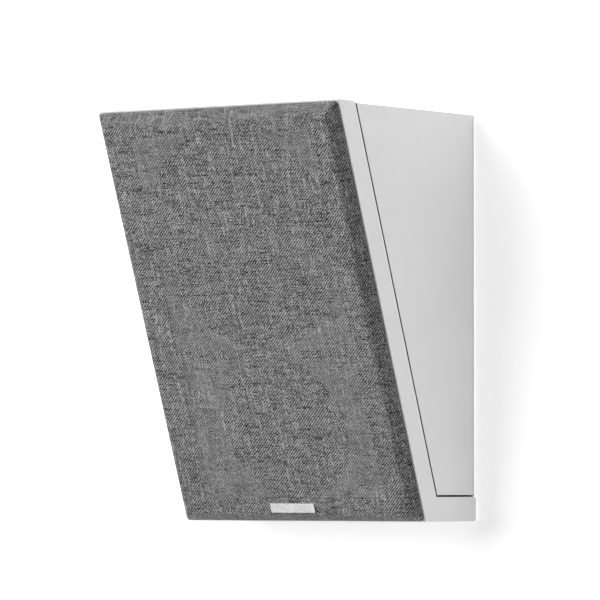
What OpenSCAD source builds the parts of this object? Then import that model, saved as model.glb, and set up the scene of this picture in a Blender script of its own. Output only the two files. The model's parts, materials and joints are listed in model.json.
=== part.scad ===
// Wall speaker with a front that leans out from the wall: an L-shaped front shell, a wedge
// cabinet behind it, a cloth grille held by magnets, two drivers, a crossover and a terminal cup.
// X runs across the front, Y towards the wall, Z up. The origin lies midway between the two
// keyholes, on the outer face of the back plate. All sizes are in millimetres.

/* [Front shell] */
// Width of the front shell
body_w = 180; // [176:1:240]
// Height of the front shell
body_h = 250; // [248:1:320]
// Depth of the bottom edge, from the back plate to the front face
base_depth = 54.6; // [52:0.1:80]
// Lean of the front face out from the vertical, in degrees
front_tilt = 20; // [17:0.5:24]
// Thickness of the baffle
baffle_t = 17; // [15:0.5:21]
// Thickness of the base
base_t = 15; // [12:0.5:18]

/* [Cabinet] */
// Thickness of the side and top walls
wall_t = 12; // [9:0.1:15]
// Thickness of the inner back panel
back_t = 12; // [10:0.5:14]
// Thickness of the steel back plate
plate_t = 1.8; // [1.2:0.1:2.4]
// Width of the shadow gap between the front shell and the cabinet
seam = 0.8; // [0.6:0.1:1.5]
// How far each side of the cabinet sits inside the front shell
cabinet_inset = 1.2; // [0.5:0.1:3]
// How far the top of the cabinet sits below the front shell
top_drop = 1; // [0.5:0.1:3]
// How far the gasket sits back in the shadow gap
gasket_inset = 1.5; // [1:0.1:3]
// Clearance around the back panel
panel_gap = 0.3; // [0.1:0.1:0.8]
// Width of the battens glued inside the walls
batten_w = 10; // [8:0.5:12]
// Depth of the battens
batten_d = 12; // [10:0.5:14]

/* [Wall mount] */
// Height from the keyholes to the top of the front shell
keyhole_from_top = 45; // [40:1:60]
// Distance between the two keyholes
keyhole_spacing = 120; // [112:1:124]
// Diameter of the round entry of a keyhole
keyhole_d = 10; // [8:0.5:11]
// Width of the slot of a keyhole
keyhole_slot = 5; // [4:0.1:5.5]
// Length of the slot, centre of the entry to centre of the top
keyhole_rise = 9; // [8:0.5:12]
// Depth of the pocket for the wall screw's head
keyhole_pocket = 6; // [5:0.5:8]
// Diameter of a rubber wall pad
pad_d = 10; // [8:0.5:12]
// How far a wall pad stands off the back plate
pad_t = 1.5; // [1:0.1:3]

/* [Grille] */
// Margin from the edge of the front shell to the grille
grille_margin = 1; // [0.5:0.1:3]
// Gap between the grille and the front face
grille_gap = 0.1; // [0.05:0.05:0.5]
// Thickness of the grille with its cloth
grille_t = 8.3; // [8:0.1:12]
// How far the bevelled edge of the grille leans in
grille_bevel = 5.5; // [3:0.1:7]
// Height of the straight edge below the bevel
grille_land = 1.4; // [1:0.1:2]
// Thickness of the grille cloth
cloth_t = 0.6; // [0.4:0.1:0.8]
// Width of the hem glued behind the grille frame
hem_w = 7; // [5:0.5:8]
// Width of the grille frame's side borders
frame_side = 20.5; // [19:0.5:22]
// Width of the grille frame's top and bottom borders
frame_end = 15; // [12:0.5:18]
// Width of the bar across the grille frame
frame_bar = 5.6; // [4:0.1:6]
// Diameter of a grille magnet
magnet_d = 8; // [6:0.5:8]
// Thickness of a grille magnet
magnet_t = 3; // [2:0.5:4]
// Width of the blank name bar
bar_w = 33; // [20:1:50]
// Height of the blank name bar
bar_h = 6; // [4:0.5:8]

/* [Woofer] */
// Distance from the top edge of the front face to the woofer's centre
woofer_from_top = 84; // [84:0.5:92]
// Diameter of the woofer's flange
woofer_d = 139; // [112:1:140]
// Width of the surround's half roll
roll_w = 10; // [8:0.5:11]
// Inner diameter of the woofer's voice coil former
coil_d = 25.8; // [24:0.1:30]
// Diameter of the woofer's magnet
woofer_magnet_d = 76; // [66:1:76]
// Thickness of the woofer's magnet
woofer_magnet_t = 14; // [10:1:18]

/* [Tweeter] */
// Distance from the bottom edge of the front face to the tweeter's centre
tweeter_from_bottom = 59.5; // [58:0.5:62]
// Diameter of the tweeter's faceplate
tweeter_d = 91; // [88:1:92]
// Diameter of the mouth of the waveguide
mouth_d = 68; // [56:1:70]
// Diameter of the dome
dome_d = 24.8; // [22:0.1:26]

/* [Terminals] */
// Height from the bottom of the front shell to the middle of the terminal cup
cup_z = 128; // [124:1:134]
// Inner width of the terminal cup
cup_w = 66; // [50:1:68]
// Inner height of the terminal cup
cup_h = 38; // [30:1:40]
// Depth of the terminal cup, flange to floor
cup_depth = 29.6; // [28:0.1:33]
// Distance between the two binding posts
post_spacing = 19; // [18:0.5:24]
// Diameter of a binding post's knob
knob_d = 14; // [12:0.5:15]
// Radius of a banana plug socket
socket_r = 2.1; // [2:0.05:2.3]

/* [Crossover] */
// Height from the middle of the board to the top of the front shell
board_from_top = 53; // [48:1:60]
// Width of the crossover board
board_w = 92; // [90:1:96]
// Height of the crossover board
board_h = 62; // [60:1:66]
// Height of the board's standoffs
standoff_h = 5; // [4:0.5:8]

/* [Hidden] */
$fn = 96;

white = [0.86, 0.87, 0.87];
dark = [0.08, 0.08, 0.09];
steel = [0.62, 0.63, 0.65];
copper = [0.72, 0.4, 0.2];

cut = 1;                                        // how far a cut runs past the face it opens
slope_l = body_h / cos(front_tilt);             // length of the front face
woofer_s = slope_l - woofer_from_top;           // up the front face, from its bottom edge
tweeter_s = tweeter_from_bottom;
cabinet_x = body_w / 2 - cabinet_inset;         // half width of the cabinet, outside
inner_x = cabinet_x - wall_t;                   // half width of the cabinet, inside
cabinet_top = body_h - top_drop;
inner_top = cabinet_top - wall_t;
inner_back = plate_t + back_t;                  // from the wall plane to the back panel's inner face
keyhole_z = body_h - keyhole_from_top;
board_z = body_h - board_from_top;

// ---- where the pieces sit ----

// Y of the front face, and of the back of the baffle, at a height z
function front_y(z) = -base_depth - z * tan(front_tilt);
function baffle_back_y(z) = front_y(z) + baffle_t / cos(front_tilt);
// The front edge of the cabinet, one shadow gap behind the baffle
function cabinet_front_y(z) = baffle_back_y(z) + seam / cos(front_tilt);
// A point given across (x), up the front face (s) and out of it (n)
function on_face(x, s, n) = [x, -base_depth - s * sin(front_tilt) - n * cos(front_tilt),
    s * cos(front_tilt) - n * sin(front_tilt)];
function arc(c, r, from, to, steps) =
    [for (i = [0 : steps]) c + r * [cos(from + (to - from) * i / steps),
        sin(from + (to - from) * i / steps)]];

module in_frame() translate([0, 0, -keyhole_z]) children();
// Local Y runs up the front face and local Z out of it
module on_front() in_frame() translate([0, -base_depth, 0]) rotate([90 + front_tilt, 0, 0]) children();
module at_woofer() on_front() translate([0, woofer_s, 0]) children();
module at_tweeter() on_front() translate([0, tweeter_s, 0]) children();
// Local Y is the height above the bottom and local Z the distance in from the wall plane
module from_wall() in_frame() rotate([90, 0, 0]) children();
module at_post(side) from_wall() translate([side * post_spacing / 2, cup_z, 0]) children();
module on_board() from_wall() translate([0, board_z, inner_back + standoff_h]) children();
// A profile drawn in Y and Z, drawn out along X
module across(w) in_frame() rotate([90, 0, 90]) translate([0, 0, -w / 2]) linear_extrude(w) children();
module both_sides() {
    children();
    mirror([1, 0, 0]) children();
}
module ring_of(count, r, from = 0) {
    for (i = [0 : count - 1]) rotate([0, 0, from + i * 360 / count]) translate([r, 0, 0]) children();
}
module tube(r_out, r_in, low, high) {
    translate([0, 0, low]) difference() {
        cylinder(r = r_out, h = high - low);
        translate([0, 0, -cut]) cylinder(r = r_in, h = high - low + 2 * cut);
    }
}
module disc(r, low, high) translate([0, 0, low]) cylinder(r = r, h = high - low);
module block(x0, x1, y0, y1, z0, z1) translate([x0, y0, z0]) cube([x1 - x0, y1 - y0, z1 - z0]);
module round_block(w, h, r, low, high) {
    translate([0, 0, low]) linear_extrude(high - low) union() {
        square([w - 2 * r, h], center = true);
        square([w, h - 2 * r], center = true);
        for (x = [-1, 1], y = [-1, 1]) translate([x * (w / 2 - r), y * (h / 2 - r)]) circle(r);
    }
}
// A countersunk screw that points down local Z, its flat head's top at height 0
module flat_screw(r_head, r_shank, length) {
    r_bit = r_shank * 0.75;
    head_h = r_head - r_shank;
    difference() {
        union() {
            translate([0, 0, -head_h]) cylinder(r1 = r_shank, r2 = r_head, h = head_h);
            disc(r_shank, -length, -head_h / 2);
        }
        translate([0, 0, -head_h * 0.6]) cylinder(r = r_bit, h = cut + head_h, $fn = 6);
    }
}
module flat_screw_hole(r_head, r_shank, gap, length) {
    head_h = r_head - r_shank;
    translate([0, 0, -head_h]) cylinder(r1 = r_shank + gap, r2 = r_head + gap, h = head_h);
    disc(r_head + gap, -0.01, cut);
    disc(r_shank + gap, -length - gap, -head_h / 2);
}
// A cap screw that points down local Z, its head standing on height 0
module cap_screw(r_head, head_h, r_shank, length) {
    difference() {
        union() {
            disc(r_head, 0, head_h);
            disc(r_shank, -length, 0);
        }
        translate([0, 0, head_h * 0.4]) cylinder(r = r_head * 0.55, h = head_h, $fn = 6);
    }
}

// ---- front shell and cabinet ----

screw_gap = 0.1;
shell_screw_r = 1.75;
shell_screw_head = 3.2;
shell_screw_head_h = 2.2;
shell_screw_bite = 8;                           // how far the shell screws go into the baffle
batten_x = inner_x - batten_w / 2;
front_batten_low = 25;
front_batten_high = (inner_top - (baffle_t + batten_d) * sin(front_tilt)) / cos(front_tilt) - 2;
shell_screw_s = [front_batten_low + 14, tweeter_s + 50, front_batten_high - 14];

back_screw_r = 1.75;
back_screw_head = 3.5;
back_screw_l = 24;
back_screw_z = [base_t + seam + 12, cup_z - 4, inner_top - 12];
pad_z = [base_t + seam + 32, keyhole_z - 27];

woofer_r = woofer_d / 2;
flange_t = 4;
seal_t = 1;
rebate_gap = 0.5;
basket_r = woofer_r - 7.7;                      // the basket behind its flange
driver_gap = 0.8;                               // between a driver's body and its hole
woofer_screws_n = 6;
woofer_screw_at = woofer_r - 3.5;
driver_screw_r = 1.6;
driver_screw_head = 2.7;
driver_screw_l = 13;
tweeter_r = tweeter_d / 2;
tweeter_boss_r = tweeter_r - 10.5;
tweeter_screws_n = 4;
tweeter_screw_at = tweeter_r - 4.7;
screw_sink = 2.1;                               // counterbore in a driver's flange

disc_x = body_w / 2 - 13;
disc_s = [24, slope_l / 2, slope_l - 24];
disc_gap = 0.05;

// The grille's own frame, just off the front face
module on_grille() on_front() translate([0, 0, grille_gap]) children();
module at_discs() for (s = disc_s) both_sides() translate([disc_x, s, 0]) children();
module at_shell_screws() on_front() for (s = shell_screw_s) both_sides()
    translate([batten_x, s, 0]) children();
module at_back_screws() from_wall() for (z = back_screw_z) both_sides() translate([batten_x, z, 0])
    rotate([180, 0, 0]) children();
module driver_hole(r_flange, r_body, screws, r_screws, from) {
    disc(r_flange + rebate_gap, -flange_t - seal_t, cut);
    disc(r_body + driver_gap, -baffle_t - cut, cut);
    ring_of(screws, r_screws, from)
        disc(driver_screw_r + screw_gap, -screw_sink - driver_screw_l - screw_gap, 0);
}

module front_shell() {
    color(white) difference() {
        across(body_w) polygon([[front_y(0), 0], [front_y(body_h), body_h],
            [baffle_back_y(body_h), body_h], [baffle_back_y(0), 0]]);
        at_woofer() driver_hole(woofer_r, basket_r, woofer_screws_n, woofer_screw_at, 30);
        at_tweeter() driver_hole(tweeter_r, tweeter_boss_r, tweeter_screws_n, tweeter_screw_at, 45);
        on_front() at_discs() disc(magnet_d / 2 + disc_gap, -magnet_t, cut);
        at_shell_screws()
            disc(shell_screw_r + screw_gap, -baffle_t - cut, -baffle_t + shell_screw_bite + screw_gap);
    }
}

// The board under the cabinet, glued to the back of the baffle
module shell_base() {
    color(white) across(body_w) polygon([[0, 0], [baffle_back_y(0), 0], [baffle_back_y(base_t), base_t],
        [0, base_t]]);
}

module cabinet_wrap() {
    color(white) difference() {
        across(2 * cabinet_x) polygon([[-plate_t, base_t + seam],
            [cabinet_front_y(base_t + seam), base_t + seam],
            [cabinet_front_y(cabinet_top), cabinet_top], [-plate_t, cabinet_top]]);
        across(2 * inner_x) polygon([[0, 0], [-body_h, 0], [-body_h, inner_top], [0, inner_top]]);
    }
}

module shell_gasket() {
    top = cabinet_top - gasket_inset;
    low = base_t + seam;
    color(dark) difference() {
        across(2 * (cabinet_x - gasket_inset)) polygon([[-plate_t, base_t], [baffle_back_y(base_t), base_t],
            [baffle_back_y(top), top], [cabinet_front_y(top), top], [cabinet_front_y(low), low],
            [-plate_t, low]]);
        across(2 * inner_x) polygon([[-inner_back, 0], [-body_h, 0], [-body_h, inner_top],
            [-inner_back, inner_top]]);
    }
}

module keyhole() {
    circle(d = keyhole_d);
    translate([-keyhole_slot / 2, 0]) square([keyhole_slot, keyhole_rise]);
    translate([0, keyhole_rise]) circle(d = keyhole_slot);
}

cup_flange_w = cup_w + 26;
cup_flange_h = cup_h + 24;
cup_flange_t = 2.4;
cup_flange_at = 0.4;                            // the flange lies this far in from the wall plane
cup_wall = 2;
cup_corner = 6;
cup_gap = 0.5;
cup_seal_t = 1;
cup_screw_x = cup_flange_w / 2 - 6;
cup_screw_y = cup_flange_h / 2 - 6;
cup_screw_head = 3;
cup_screw_r = 1.5;
cup_screw_l = 9;
cup_seat = cup_flange_at + cup_flange_t;

module cup_flange_outline(gap, low, high) {
    round_block(cup_flange_w + 2 * gap, cup_flange_h + 2 * gap, cup_corner + gap, low, high);
}
module at_cup() from_wall() translate([0, cup_z, 0]) children();
module at_cup_screws() at_cup() for (x = [-1, 1], y = [-1, 1])
    translate([x * cup_screw_x, y * cup_screw_y, cup_flange_at]) rotate([180, 0, 0]) children();

board_hole_x = board_w / 2 - 5;
board_hole_y = board_h / 2 - 5;
board_t = 1.6;
board_screw_r = 1.4;
board_screw_l = standoff_h + board_t + 7;
module at_board_screws() on_board() for (x = [-1, 1], y = [-1, 1])
    translate([x * board_hole_x, y * board_hole_y, 0]) children();

module back_panel() {
    half = inner_x - panel_gap;
    low = base_t + seam;
    color([0.63, 0.5, 0.36]) difference() {
        from_wall() block(-half, half, low, inner_top - panel_gap, plate_t, inner_back);
        from_wall() for (x = [-1, 1]) translate([x * keyhole_spacing / 2, keyhole_z, 0])
            block(-keyhole_d / 2 - 1, keyhole_d / 2 + 1, -keyhole_d / 2 - 1,
                keyhole_rise + keyhole_d / 2 + 1, 0, plate_t + keyhole_pocket);
        at_cup() cup_flange_outline(cup_gap, 0, cup_seat + cup_seal_t);
        at_cup() round_block(cup_w + 2 * (cup_wall + cup_gap), cup_h + 2 * (cup_wall + cup_gap), cup_corner,
            0, inner_back + cut);
        at_cup_screws() disc(cup_screw_r + screw_gap, -cup_screw_l - screw_gap, 0);
        at_back_screws() disc(back_screw_r + screw_gap, -back_screw_l, 0);
        at_board_screws() disc(board_screw_r + screw_gap, board_t - board_screw_l - screw_gap, 0);
    }
}

module back_plate() {
    color(white) difference() {
        from_wall() block(-cabinet_x, cabinet_x, base_t, cabinet_top, 0, plate_t);
        from_wall() for (x = [-1, 1]) translate([x * keyhole_spacing / 2, keyhole_z, -cut])
            linear_extrude(plate_t + 2 * cut) keyhole();
        at_cup() cup_flange_outline(cup_gap, -cut, plate_t + cut);
        at_back_screws() flat_screw_hole(back_screw_head, back_screw_r, screw_gap, back_screw_l);
    }
}

module front_battens() {
    color([0.8, 0.68, 0.48]) difference() {
        on_front() both_sides() block(inner_x - batten_w, inner_x, front_batten_low, front_batten_high,
            -baffle_t - batten_d, -baffle_t);
        at_shell_screws() disc(shell_screw_r + screw_gap, -baffle_t - batten_d - cut, 0);
    }
}

module rear_battens() {
    color([0.8, 0.68, 0.48]) difference() {
        from_wall() both_sides() block(inner_x - batten_w, inner_x, base_t + seam, inner_top,
            inner_back, inner_back + batten_d);
        at_back_screws() disc(back_screw_r + screw_gap, -back_screw_l - screw_gap, 0);
    }
}

module shell_screws() {
    color(steel) at_shell_screws() translate([0, 0, -baffle_t - batten_d]) rotate([180, 0, 0])
        cap_screw(shell_screw_head, shell_screw_head_h, shell_screw_r, batten_d + shell_screw_bite);
}
module back_screws() color(steel) at_back_screws() flat_screw(back_screw_head, back_screw_r, back_screw_l);
module wall_pads() {
    color(dark) from_wall() for (z = pad_z) both_sides() translate([batten_x, z, 0])
        disc(pad_d / 2, -pad_t, 0);
}

wad_w = 17;
wad_d = 29;
wad_gap = 0.5;
wad_low = cup_z - 20;
wad_high = inner_top - 12;
module wadding() {
    back = inner_back + batten_d + 2;
    color([0.85, 0.85, 0.82]) from_wall() both_sides()
        block(inner_x - wad_gap - wad_w, inner_x - wad_gap, wad_low, wad_high, back, back + wad_d);
}

// ---- grille ----

grille_x = body_w / 2 - grille_margin;
grille_low = grille_margin;
grille_high = slope_l - grille_margin;
bar_s = woofer_s - woofer_r - (woofer_s - woofer_r - tweeter_s - tweeter_r) / 2;
frame_step = 3;                                 // the crossbar's depth
frame_x = grille_x - frame_side;

// A slab on the front face with bevelled edges, shrunk on every outer face by inset
module bevelled_slab(inset, low) {
    x = grille_x - inset;
    s0 = grille_low + inset;
    s1 = grille_high - inset;
    top = grille_t - inset;
    lean = grille_bevel * (top - grille_land) / (grille_t - grille_land);
    intersection() {
        rotate([90, 0, 0]) translate([0, 0, -s1 - cut]) linear_extrude(s1 - s0 + 2 * cut)
            polygon([[-x, low], [x, low], [x, grille_land], [x - lean, top], [lean - x, top],
                [-x, grille_land]]);
        rotate([90, 0, 90]) translate([0, 0, -x - cut]) linear_extrude(2 * (x + cut))
            polygon([[s0, low], [s1, low], [s1, grille_land], [s1 - lean, top], [s0 + lean, top],
                [s0, grille_land]]);
    }
}

bar_pin_r = 1;
bar_pin_l = 3;
bar_lift = 0.1;
bar_t = 1;
bar_at = grille_low + grille_bevel + 5.5;       // the middle of the name bar, up the front face
module at_name_bar() on_grille() translate([0, bar_at, grille_t + bar_lift]) children();
module at_bar_pins() at_name_bar() both_sides() translate([bar_w / 2 - 4, 0, 0]) children();

module grille_frame() {
    color(dark) difference() {
        on_grille() difference() {
            bevelled_slab(cloth_t, cloth_t);
            block(-frame_x, frame_x, grille_low + frame_end, bar_s - frame_bar / 2, -cut, grille_t);
            block(-frame_x, frame_x, bar_s + frame_bar / 2, grille_high - frame_end, -cut, grille_t);
            block(-frame_x, frame_x, bar_s - frame_bar, bar_s + frame_bar, cloth_t + frame_step, grille_t);
        }
        on_grille() at_discs() disc(magnet_d / 2 + disc_gap, 0, cloth_t + magnet_t);
        at_bar_pins() disc(bar_pin_r + disc_gap, -bar_pin_l - bar_lift - cloth_t, 0);
    }
}

module grille_cloth() {
    color([0.5, 0.5, 0.5]) difference() {
        on_grille() bevelled_slab(0, 0);
        on_grille() bevelled_slab(cloth_t, cloth_t);
        on_grille() block(hem_w - grille_x, grille_x - hem_w, grille_low + hem_w, grille_high - hem_w,
            -cut, cloth_t + 0.2);
        at_bar_pins() disc(bar_pin_r + disc_gap, -bar_lift - cloth_t - cut, 0);
    }
}

module name_bar() {
    color([0.75, 0.76, 0.78]) union() {
        at_name_bar() block(-bar_w / 2, bar_w / 2, -bar_h / 2, bar_h / 2, 0, bar_t);
        at_bar_pins() disc(bar_pin_r, -bar_pin_l, cut / 2);
    }
}
module grille_magnets() {
    color(steel) on_grille() at_discs() disc(magnet_d / 2, cloth_t, cloth_t + magnet_t);
}
module baffle_discs() color(steel) on_front() at_discs() disc(magnet_d / 2, -magnet_t, 0);

// ---- woofer ----

ledge = -2;                                     // the surround's seat, below the flange's face
ledge_r = woofer_r - 7.1;
basket_in = woofer_r - 10.2;
plate_at = -38;                                 // the back of the basket
spider_at = -27;
cup_r = woofer_magnet_d / 2 + 2;
window_deg = 44;
boss_x = cup_r + 2;
boss_low = -37;
boss_high = -28.5;
boss_y = 9;
coil_r = coil_d / 2;
former_t = 0.3;
winding_t = 0.6;
gap_air = 0.6;                                  // clearance in the magnet gap
top_plate_t = 5;
yoke_t = 5;
magnet_low = plate_at - top_plate_t - woofer_magnet_t;
roll_r = roll_w / 2;
skin = 0.4;                                     // half the thickness of a soft skin
roll_c = basket_in - roll_r + skin;
cone_r = roll_c - roll_r + 0.2;
rim_w = 3.2;
rim_n = -2.2;
neck_n = -20;
cone_t = 0.8;
neck_r = coil_r + former_t + 0.1;

module woofer_basket() {
    color([0.16, 0.16, 0.17]) difference() {
        at_woofer() union() {
            rotate_extrude() polygon([[woofer_r, 0], [woofer_r, -flange_t], [basket_r, -flange_t],
                [basket_r, -7], [cup_r, spider_at], [cup_r, plate_at], [coil_r + 7, plate_at],
                [coil_r + 7, plate_at + 2.5], [cup_r - 2.5, plate_at + 2.5],
                [cup_r - 2.5, spider_at - 2], [cup_r - 6.5, spider_at - 2], [cup_r - 6.5, spider_at],
                [cup_r - 3, spider_at], [basket_in - 0.3, -6.2], [basket_in, ledge], [ledge_r, ledge],
                [ledge_r, 0]]);
            block(cup_r - 2, boss_x, -boss_y, boss_y, boss_low, boss_high);
        }
        at_woofer() for (i = [0 : 5]) rotate([0, 0, i * 60]) translate([0, 0, spider_at + 2])
            linear_extrude(-spider_at - 10) polygon(concat([[cup_r - 12, 0]],
                arc([0, 0], woofer_r + 20, -window_deg / 2, window_deg / 2, 6)));
        at_woofer() ring_of(woofer_screws_n, woofer_screw_at, 30) {
            disc(driver_screw_head + 0.25, -screw_sink, cut);
            disc(driver_screw_r + screw_gap, -flange_t - cut, cut);
        }
    }
}

module seal_ring(r_out, r_in, screws, r_screws, from) {
    difference() {
        tube(r_out, r_in, -flange_t - seal_t, -flange_t);
        ring_of(screws, r_screws, from) disc(driver_screw_r + 0.4, -flange_t - seal_t - cut, 0);
    }
}
module woofer_seal() {
    color(dark) at_woofer() seal_ring(woofer_r - 0.2, basket_r + 0.3, woofer_screws_n, woofer_screw_at, 30);
}

module woofer_surround() {
    mid = ledge + skin;
    color([0.1, 0.1, 0.11]) at_woofer() rotate_extrude() polygon(concat(
        [[cone_r - rim_w, rim_n], [roll_c - roll_r + 2 * skin, rim_n]],
        arc([roll_c, mid], roll_r - skin, 180, 0, 16),
        [[roll_c + roll_r - skin, ledge], [ledge_r - 0.2, ledge], [ledge_r - 0.2, ledge + 2 * skin],
            [roll_c + roll_r + skin, ledge + 2 * skin]],
        arc([roll_c, mid], roll_r + skin, 10, 170, 16),
        [[cone_r - rim_w, rim_n + 2 * skin]]));
}

// The front of the cone flares out from its neck to its flat rim
flare = 0.86;
function cone_n(r) = neck_n + (rim_n - neck_n) * pow((r - neck_r) / (cone_r - rim_w - neck_r), flare);
module woofer_cone() {
    steps = 9;
    reach = cone_r - rim_w - neck_r;
    radii = [for (i = [0 : steps]) neck_r + reach * i / steps];
    color([0.13, 0.13, 0.14]) at_woofer() rotate_extrude() polygon(concat(
        [for (r = radii) [r, cone_n(r)]],
        [[cone_r, rim_n], [cone_r, rim_n - cone_t], [cone_r - rim_w + 0.2, rim_n - cone_t]],
        [for (i = [1 : steps]) [radii[steps - i], cone_n(radii[steps - i]) - cone_t]]));
}

cap_r = 17;
cap_rise = 6;
module dome_shell(r, rise, t, base_n, skirt) {
    big = (r * r + rise * rise) / (2 * rise);
    half = asin(r / big);
    c = [0, base_n + rise - big];
    rotate_extrude() polygon(concat(
        arc(c, big, 90, 90 - half, 12),
        [[r, base_n - skirt], [r - t, base_n - skirt]],
        arc(c, big - t, 90 - asin((r - t) / (big - t)), 90, 12)));
}
module woofer_dust_cap() {
    color([0.1, 0.1, 0.11]) at_woofer() dome_shell(cap_r, cap_rise, 0.6, cone_n(cap_r) + 0.7, 0.4);
}
module woofer_former() {
    color([0.78, 0.66, 0.4]) at_woofer() tube(coil_r + former_t, coil_r, plate_at - 8.5, neck_n + 1);
}
module woofer_winding() {
    color(copper) at_woofer() tube(coil_r + former_t + winding_t, coil_r + former_t, plate_at - 8.5,
        plate_at + 3.5);
}
module woofer_spider() {
    r_in = coil_r + former_t + 0.1;
    r_out = cup_r - 3.3;
    flat_in = r_in + 2;
    flat_out = cup_r - 7;
    steps = 48;
    waves = 4;
    wave_h = 0.9;
    mid = spider_at + skin;
    function wave_r(i) = flat_in + (flat_out - flat_in) * i / steps;
    function wave_n(i) = mid + wave_h * sin(360 * waves * i / steps);
    color([0.78, 0.62, 0.36]) at_woofer() rotate_extrude() polygon(concat(
        [[r_in, mid - skin]], [for (i = [0 : steps]) [wave_r(i), wave_n(i) - skin]],
        [[r_out, mid - skin], [r_out, mid + skin]],
        [for (i = [0 : steps]) [wave_r(steps - i), wave_n(steps - i) + skin]], [[r_in, mid + skin]]));
}
module woofer_top_plate() {
    color(steel) at_woofer() tube(woofer_magnet_d / 2 - 2, coil_r + former_t + winding_t + gap_air,
        plate_at - top_plate_t, plate_at);
}
module woofer_magnet() {
    color([0.2, 0.2, 0.21]) at_woofer() tube(woofer_magnet_d / 2, coil_r + 6, magnet_low,
        plate_at - top_plate_t);
}
module woofer_yoke() {
    color(steel) at_woofer() difference() {
        union() {
            disc(woofer_magnet_d / 2 - 2, magnet_low - yoke_t, magnet_low);
            disc(coil_r - 0.5, magnet_low - cut, plate_at + 0.5);
        }
        disc(4, magnet_low - yoke_t - cut, 0);
    }
}

blade_t = 0.8;
blade_w = 4.8;
blade_l = 9;
blade_y = 5.5;
strip_t = 2;
module blades(x, from) for (y = [-1, 1])
    block(x, x + blade_t, y * blade_y - blade_w / 2, y * blade_y + blade_w / 2, from - blade_l, from);
module woofer_terminals() {
    color([0.8, 0.66, 0.3]) at_woofer() union() {
        block(boss_x, boss_x + strip_t, -boss_y, boss_y, boss_low, boss_high);
        blades(boss_x + strip_t / 2 - blade_t / 2, boss_low);
    }
}
module driver_screws(count, r, from) {
    ring_of(count, r, from) translate([0, 0, -screw_sink])
        cap_screw(driver_screw_head, screw_sink - 0.1, driver_screw_r, driver_screw_l);
}
module woofer_screws() color([0.2, 0.2, 0.2]) at_woofer() driver_screws(woofer_screws_n, woofer_screw_at, 30);

// ---- tweeter ----

throat_r = dome_d / 2 + 2.2;
mouth_r = mouth_d / 2;
throat_n = -8;
clamp_n = -9.3;                                 // where the dome's flange is clamped
boss_n = -10.5;                                 // the back of the faceplate's boss
dome_rise = 5.5;
t_plate_t = 3.5;
t_magnet_t = 8;
t_yoke_t = 4;
t_magnet_r = 31;
t_magnet_low = boss_n - t_plate_t - t_magnet_t;
t_yoke_low = t_magnet_low - t_yoke_t;
rear_cup_l = 16;

module tweeter_faceplate() {
    steps = 12;
    function horn(i) = [throat_r + (mouth_r - throat_r) * i / steps,
        throat_n * (1 - sin(90 * i / steps))];
    color([0.12, 0.12, 0.13]) at_tweeter() difference() {
        rotate_extrude() polygon(concat([for (i = [0 : steps]) horn(i)],
            [[tweeter_r, 0], [tweeter_r, -flange_t], [tweeter_boss_r, -flange_t],
                [tweeter_boss_r, boss_n], [throat_r + 3.2, boss_n], [throat_r + 3.2, clamp_n],
                [throat_r, clamp_n]]));
        ring_of(tweeter_screws_n, tweeter_screw_at, 45) {
            disc(driver_screw_head + 0.25, -screw_sink, cut);
            disc(driver_screw_r + screw_gap, -flange_t - cut, cut);
        }
    }
}
module tweeter_seal() {
    color(dark) at_tweeter() seal_ring(tweeter_r - 0.2, tweeter_boss_r + 1.2, tweeter_screws_n,
        tweeter_screw_at, 45);
}
module tweeter_dome() {
    color([0.09, 0.09, 0.1]) at_tweeter() dome_shell(dome_d / 2, dome_rise, 0.4, clamp_n, 1);
}
module tweeter_surround() {
    t = 0.4;
    roll_in = dome_d / 2 + 0.2;
    r = (throat_r - roll_in) / 2;
    c = [roll_in + r, clamp_n - t];
    color([0.09, 0.09, 0.1]) at_tweeter() rotate_extrude() polygon(concat(
        arc(c, r, 180, 0, 8), [[throat_r, clamp_n - t], [throat_r, clamp_n], [throat_r + 3, clamp_n],
            [throat_r + 3, clamp_n - 2 * t], [throat_r - t, clamp_n - 2 * t]],
        arc(c, r - t, 0, 180, 8)));
}
module tweeter_coil() {
    color(copper) at_tweeter()
        tube(dome_d / 2 + 0.3, dome_d / 2 - 0.4, boss_n - t_plate_t - 0.5, clamp_n - 1);
}
module tweeter_top_plate() {
    color(steel) at_tweeter() tube(t_magnet_r - 1, dome_d / 2 + 0.8, boss_n - t_plate_t, boss_n);
}
module tweeter_magnet() {
    color([0.2, 0.2, 0.21]) at_tweeter() tube(t_magnet_r, dome_d / 2 + 4, t_magnet_low, boss_n - t_plate_t);
}
module tweeter_yoke() {
    color(steel) at_tweeter() difference() {
        union() {
            disc(t_magnet_r - 2, t_yoke_low, t_magnet_low);
            disc(dome_d / 2 - 0.8, t_magnet_low - cut, boss_n - 0.3);
        }
        disc(4, t_yoke_low - cut, 0);
    }
}
module tweeter_rear_cup() {
    wall = 2;
    color(dark) at_tweeter() difference() {
        disc(24, t_yoke_low - rear_cup_l, t_yoke_low);
        disc(24 - wall, t_yoke_low - rear_cup_l + wall, t_yoke_low + cut);
    }
}
t_blade_x = -(t_magnet_r + 2.6);
module tweeter_terminals() color([0.8, 0.66, 0.3]) at_tweeter() blades(t_blade_x - blade_t / 2, boss_n);
module tweeter_screws() {
    color([0.2, 0.2, 0.2]) at_tweeter() driver_screws(tweeter_screws_n, tweeter_screw_at, 45);
}

// ---- crossover ----

module crossover_board() {
    color([0.16, 0.33, 0.2]) difference() {
        on_board() block(-board_w / 2, board_w / 2, -board_h / 2, board_h / 2, 0, board_t);
        at_board_screws() disc(board_screw_r + screw_gap, -cut, board_t + cut);
    }
}
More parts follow.
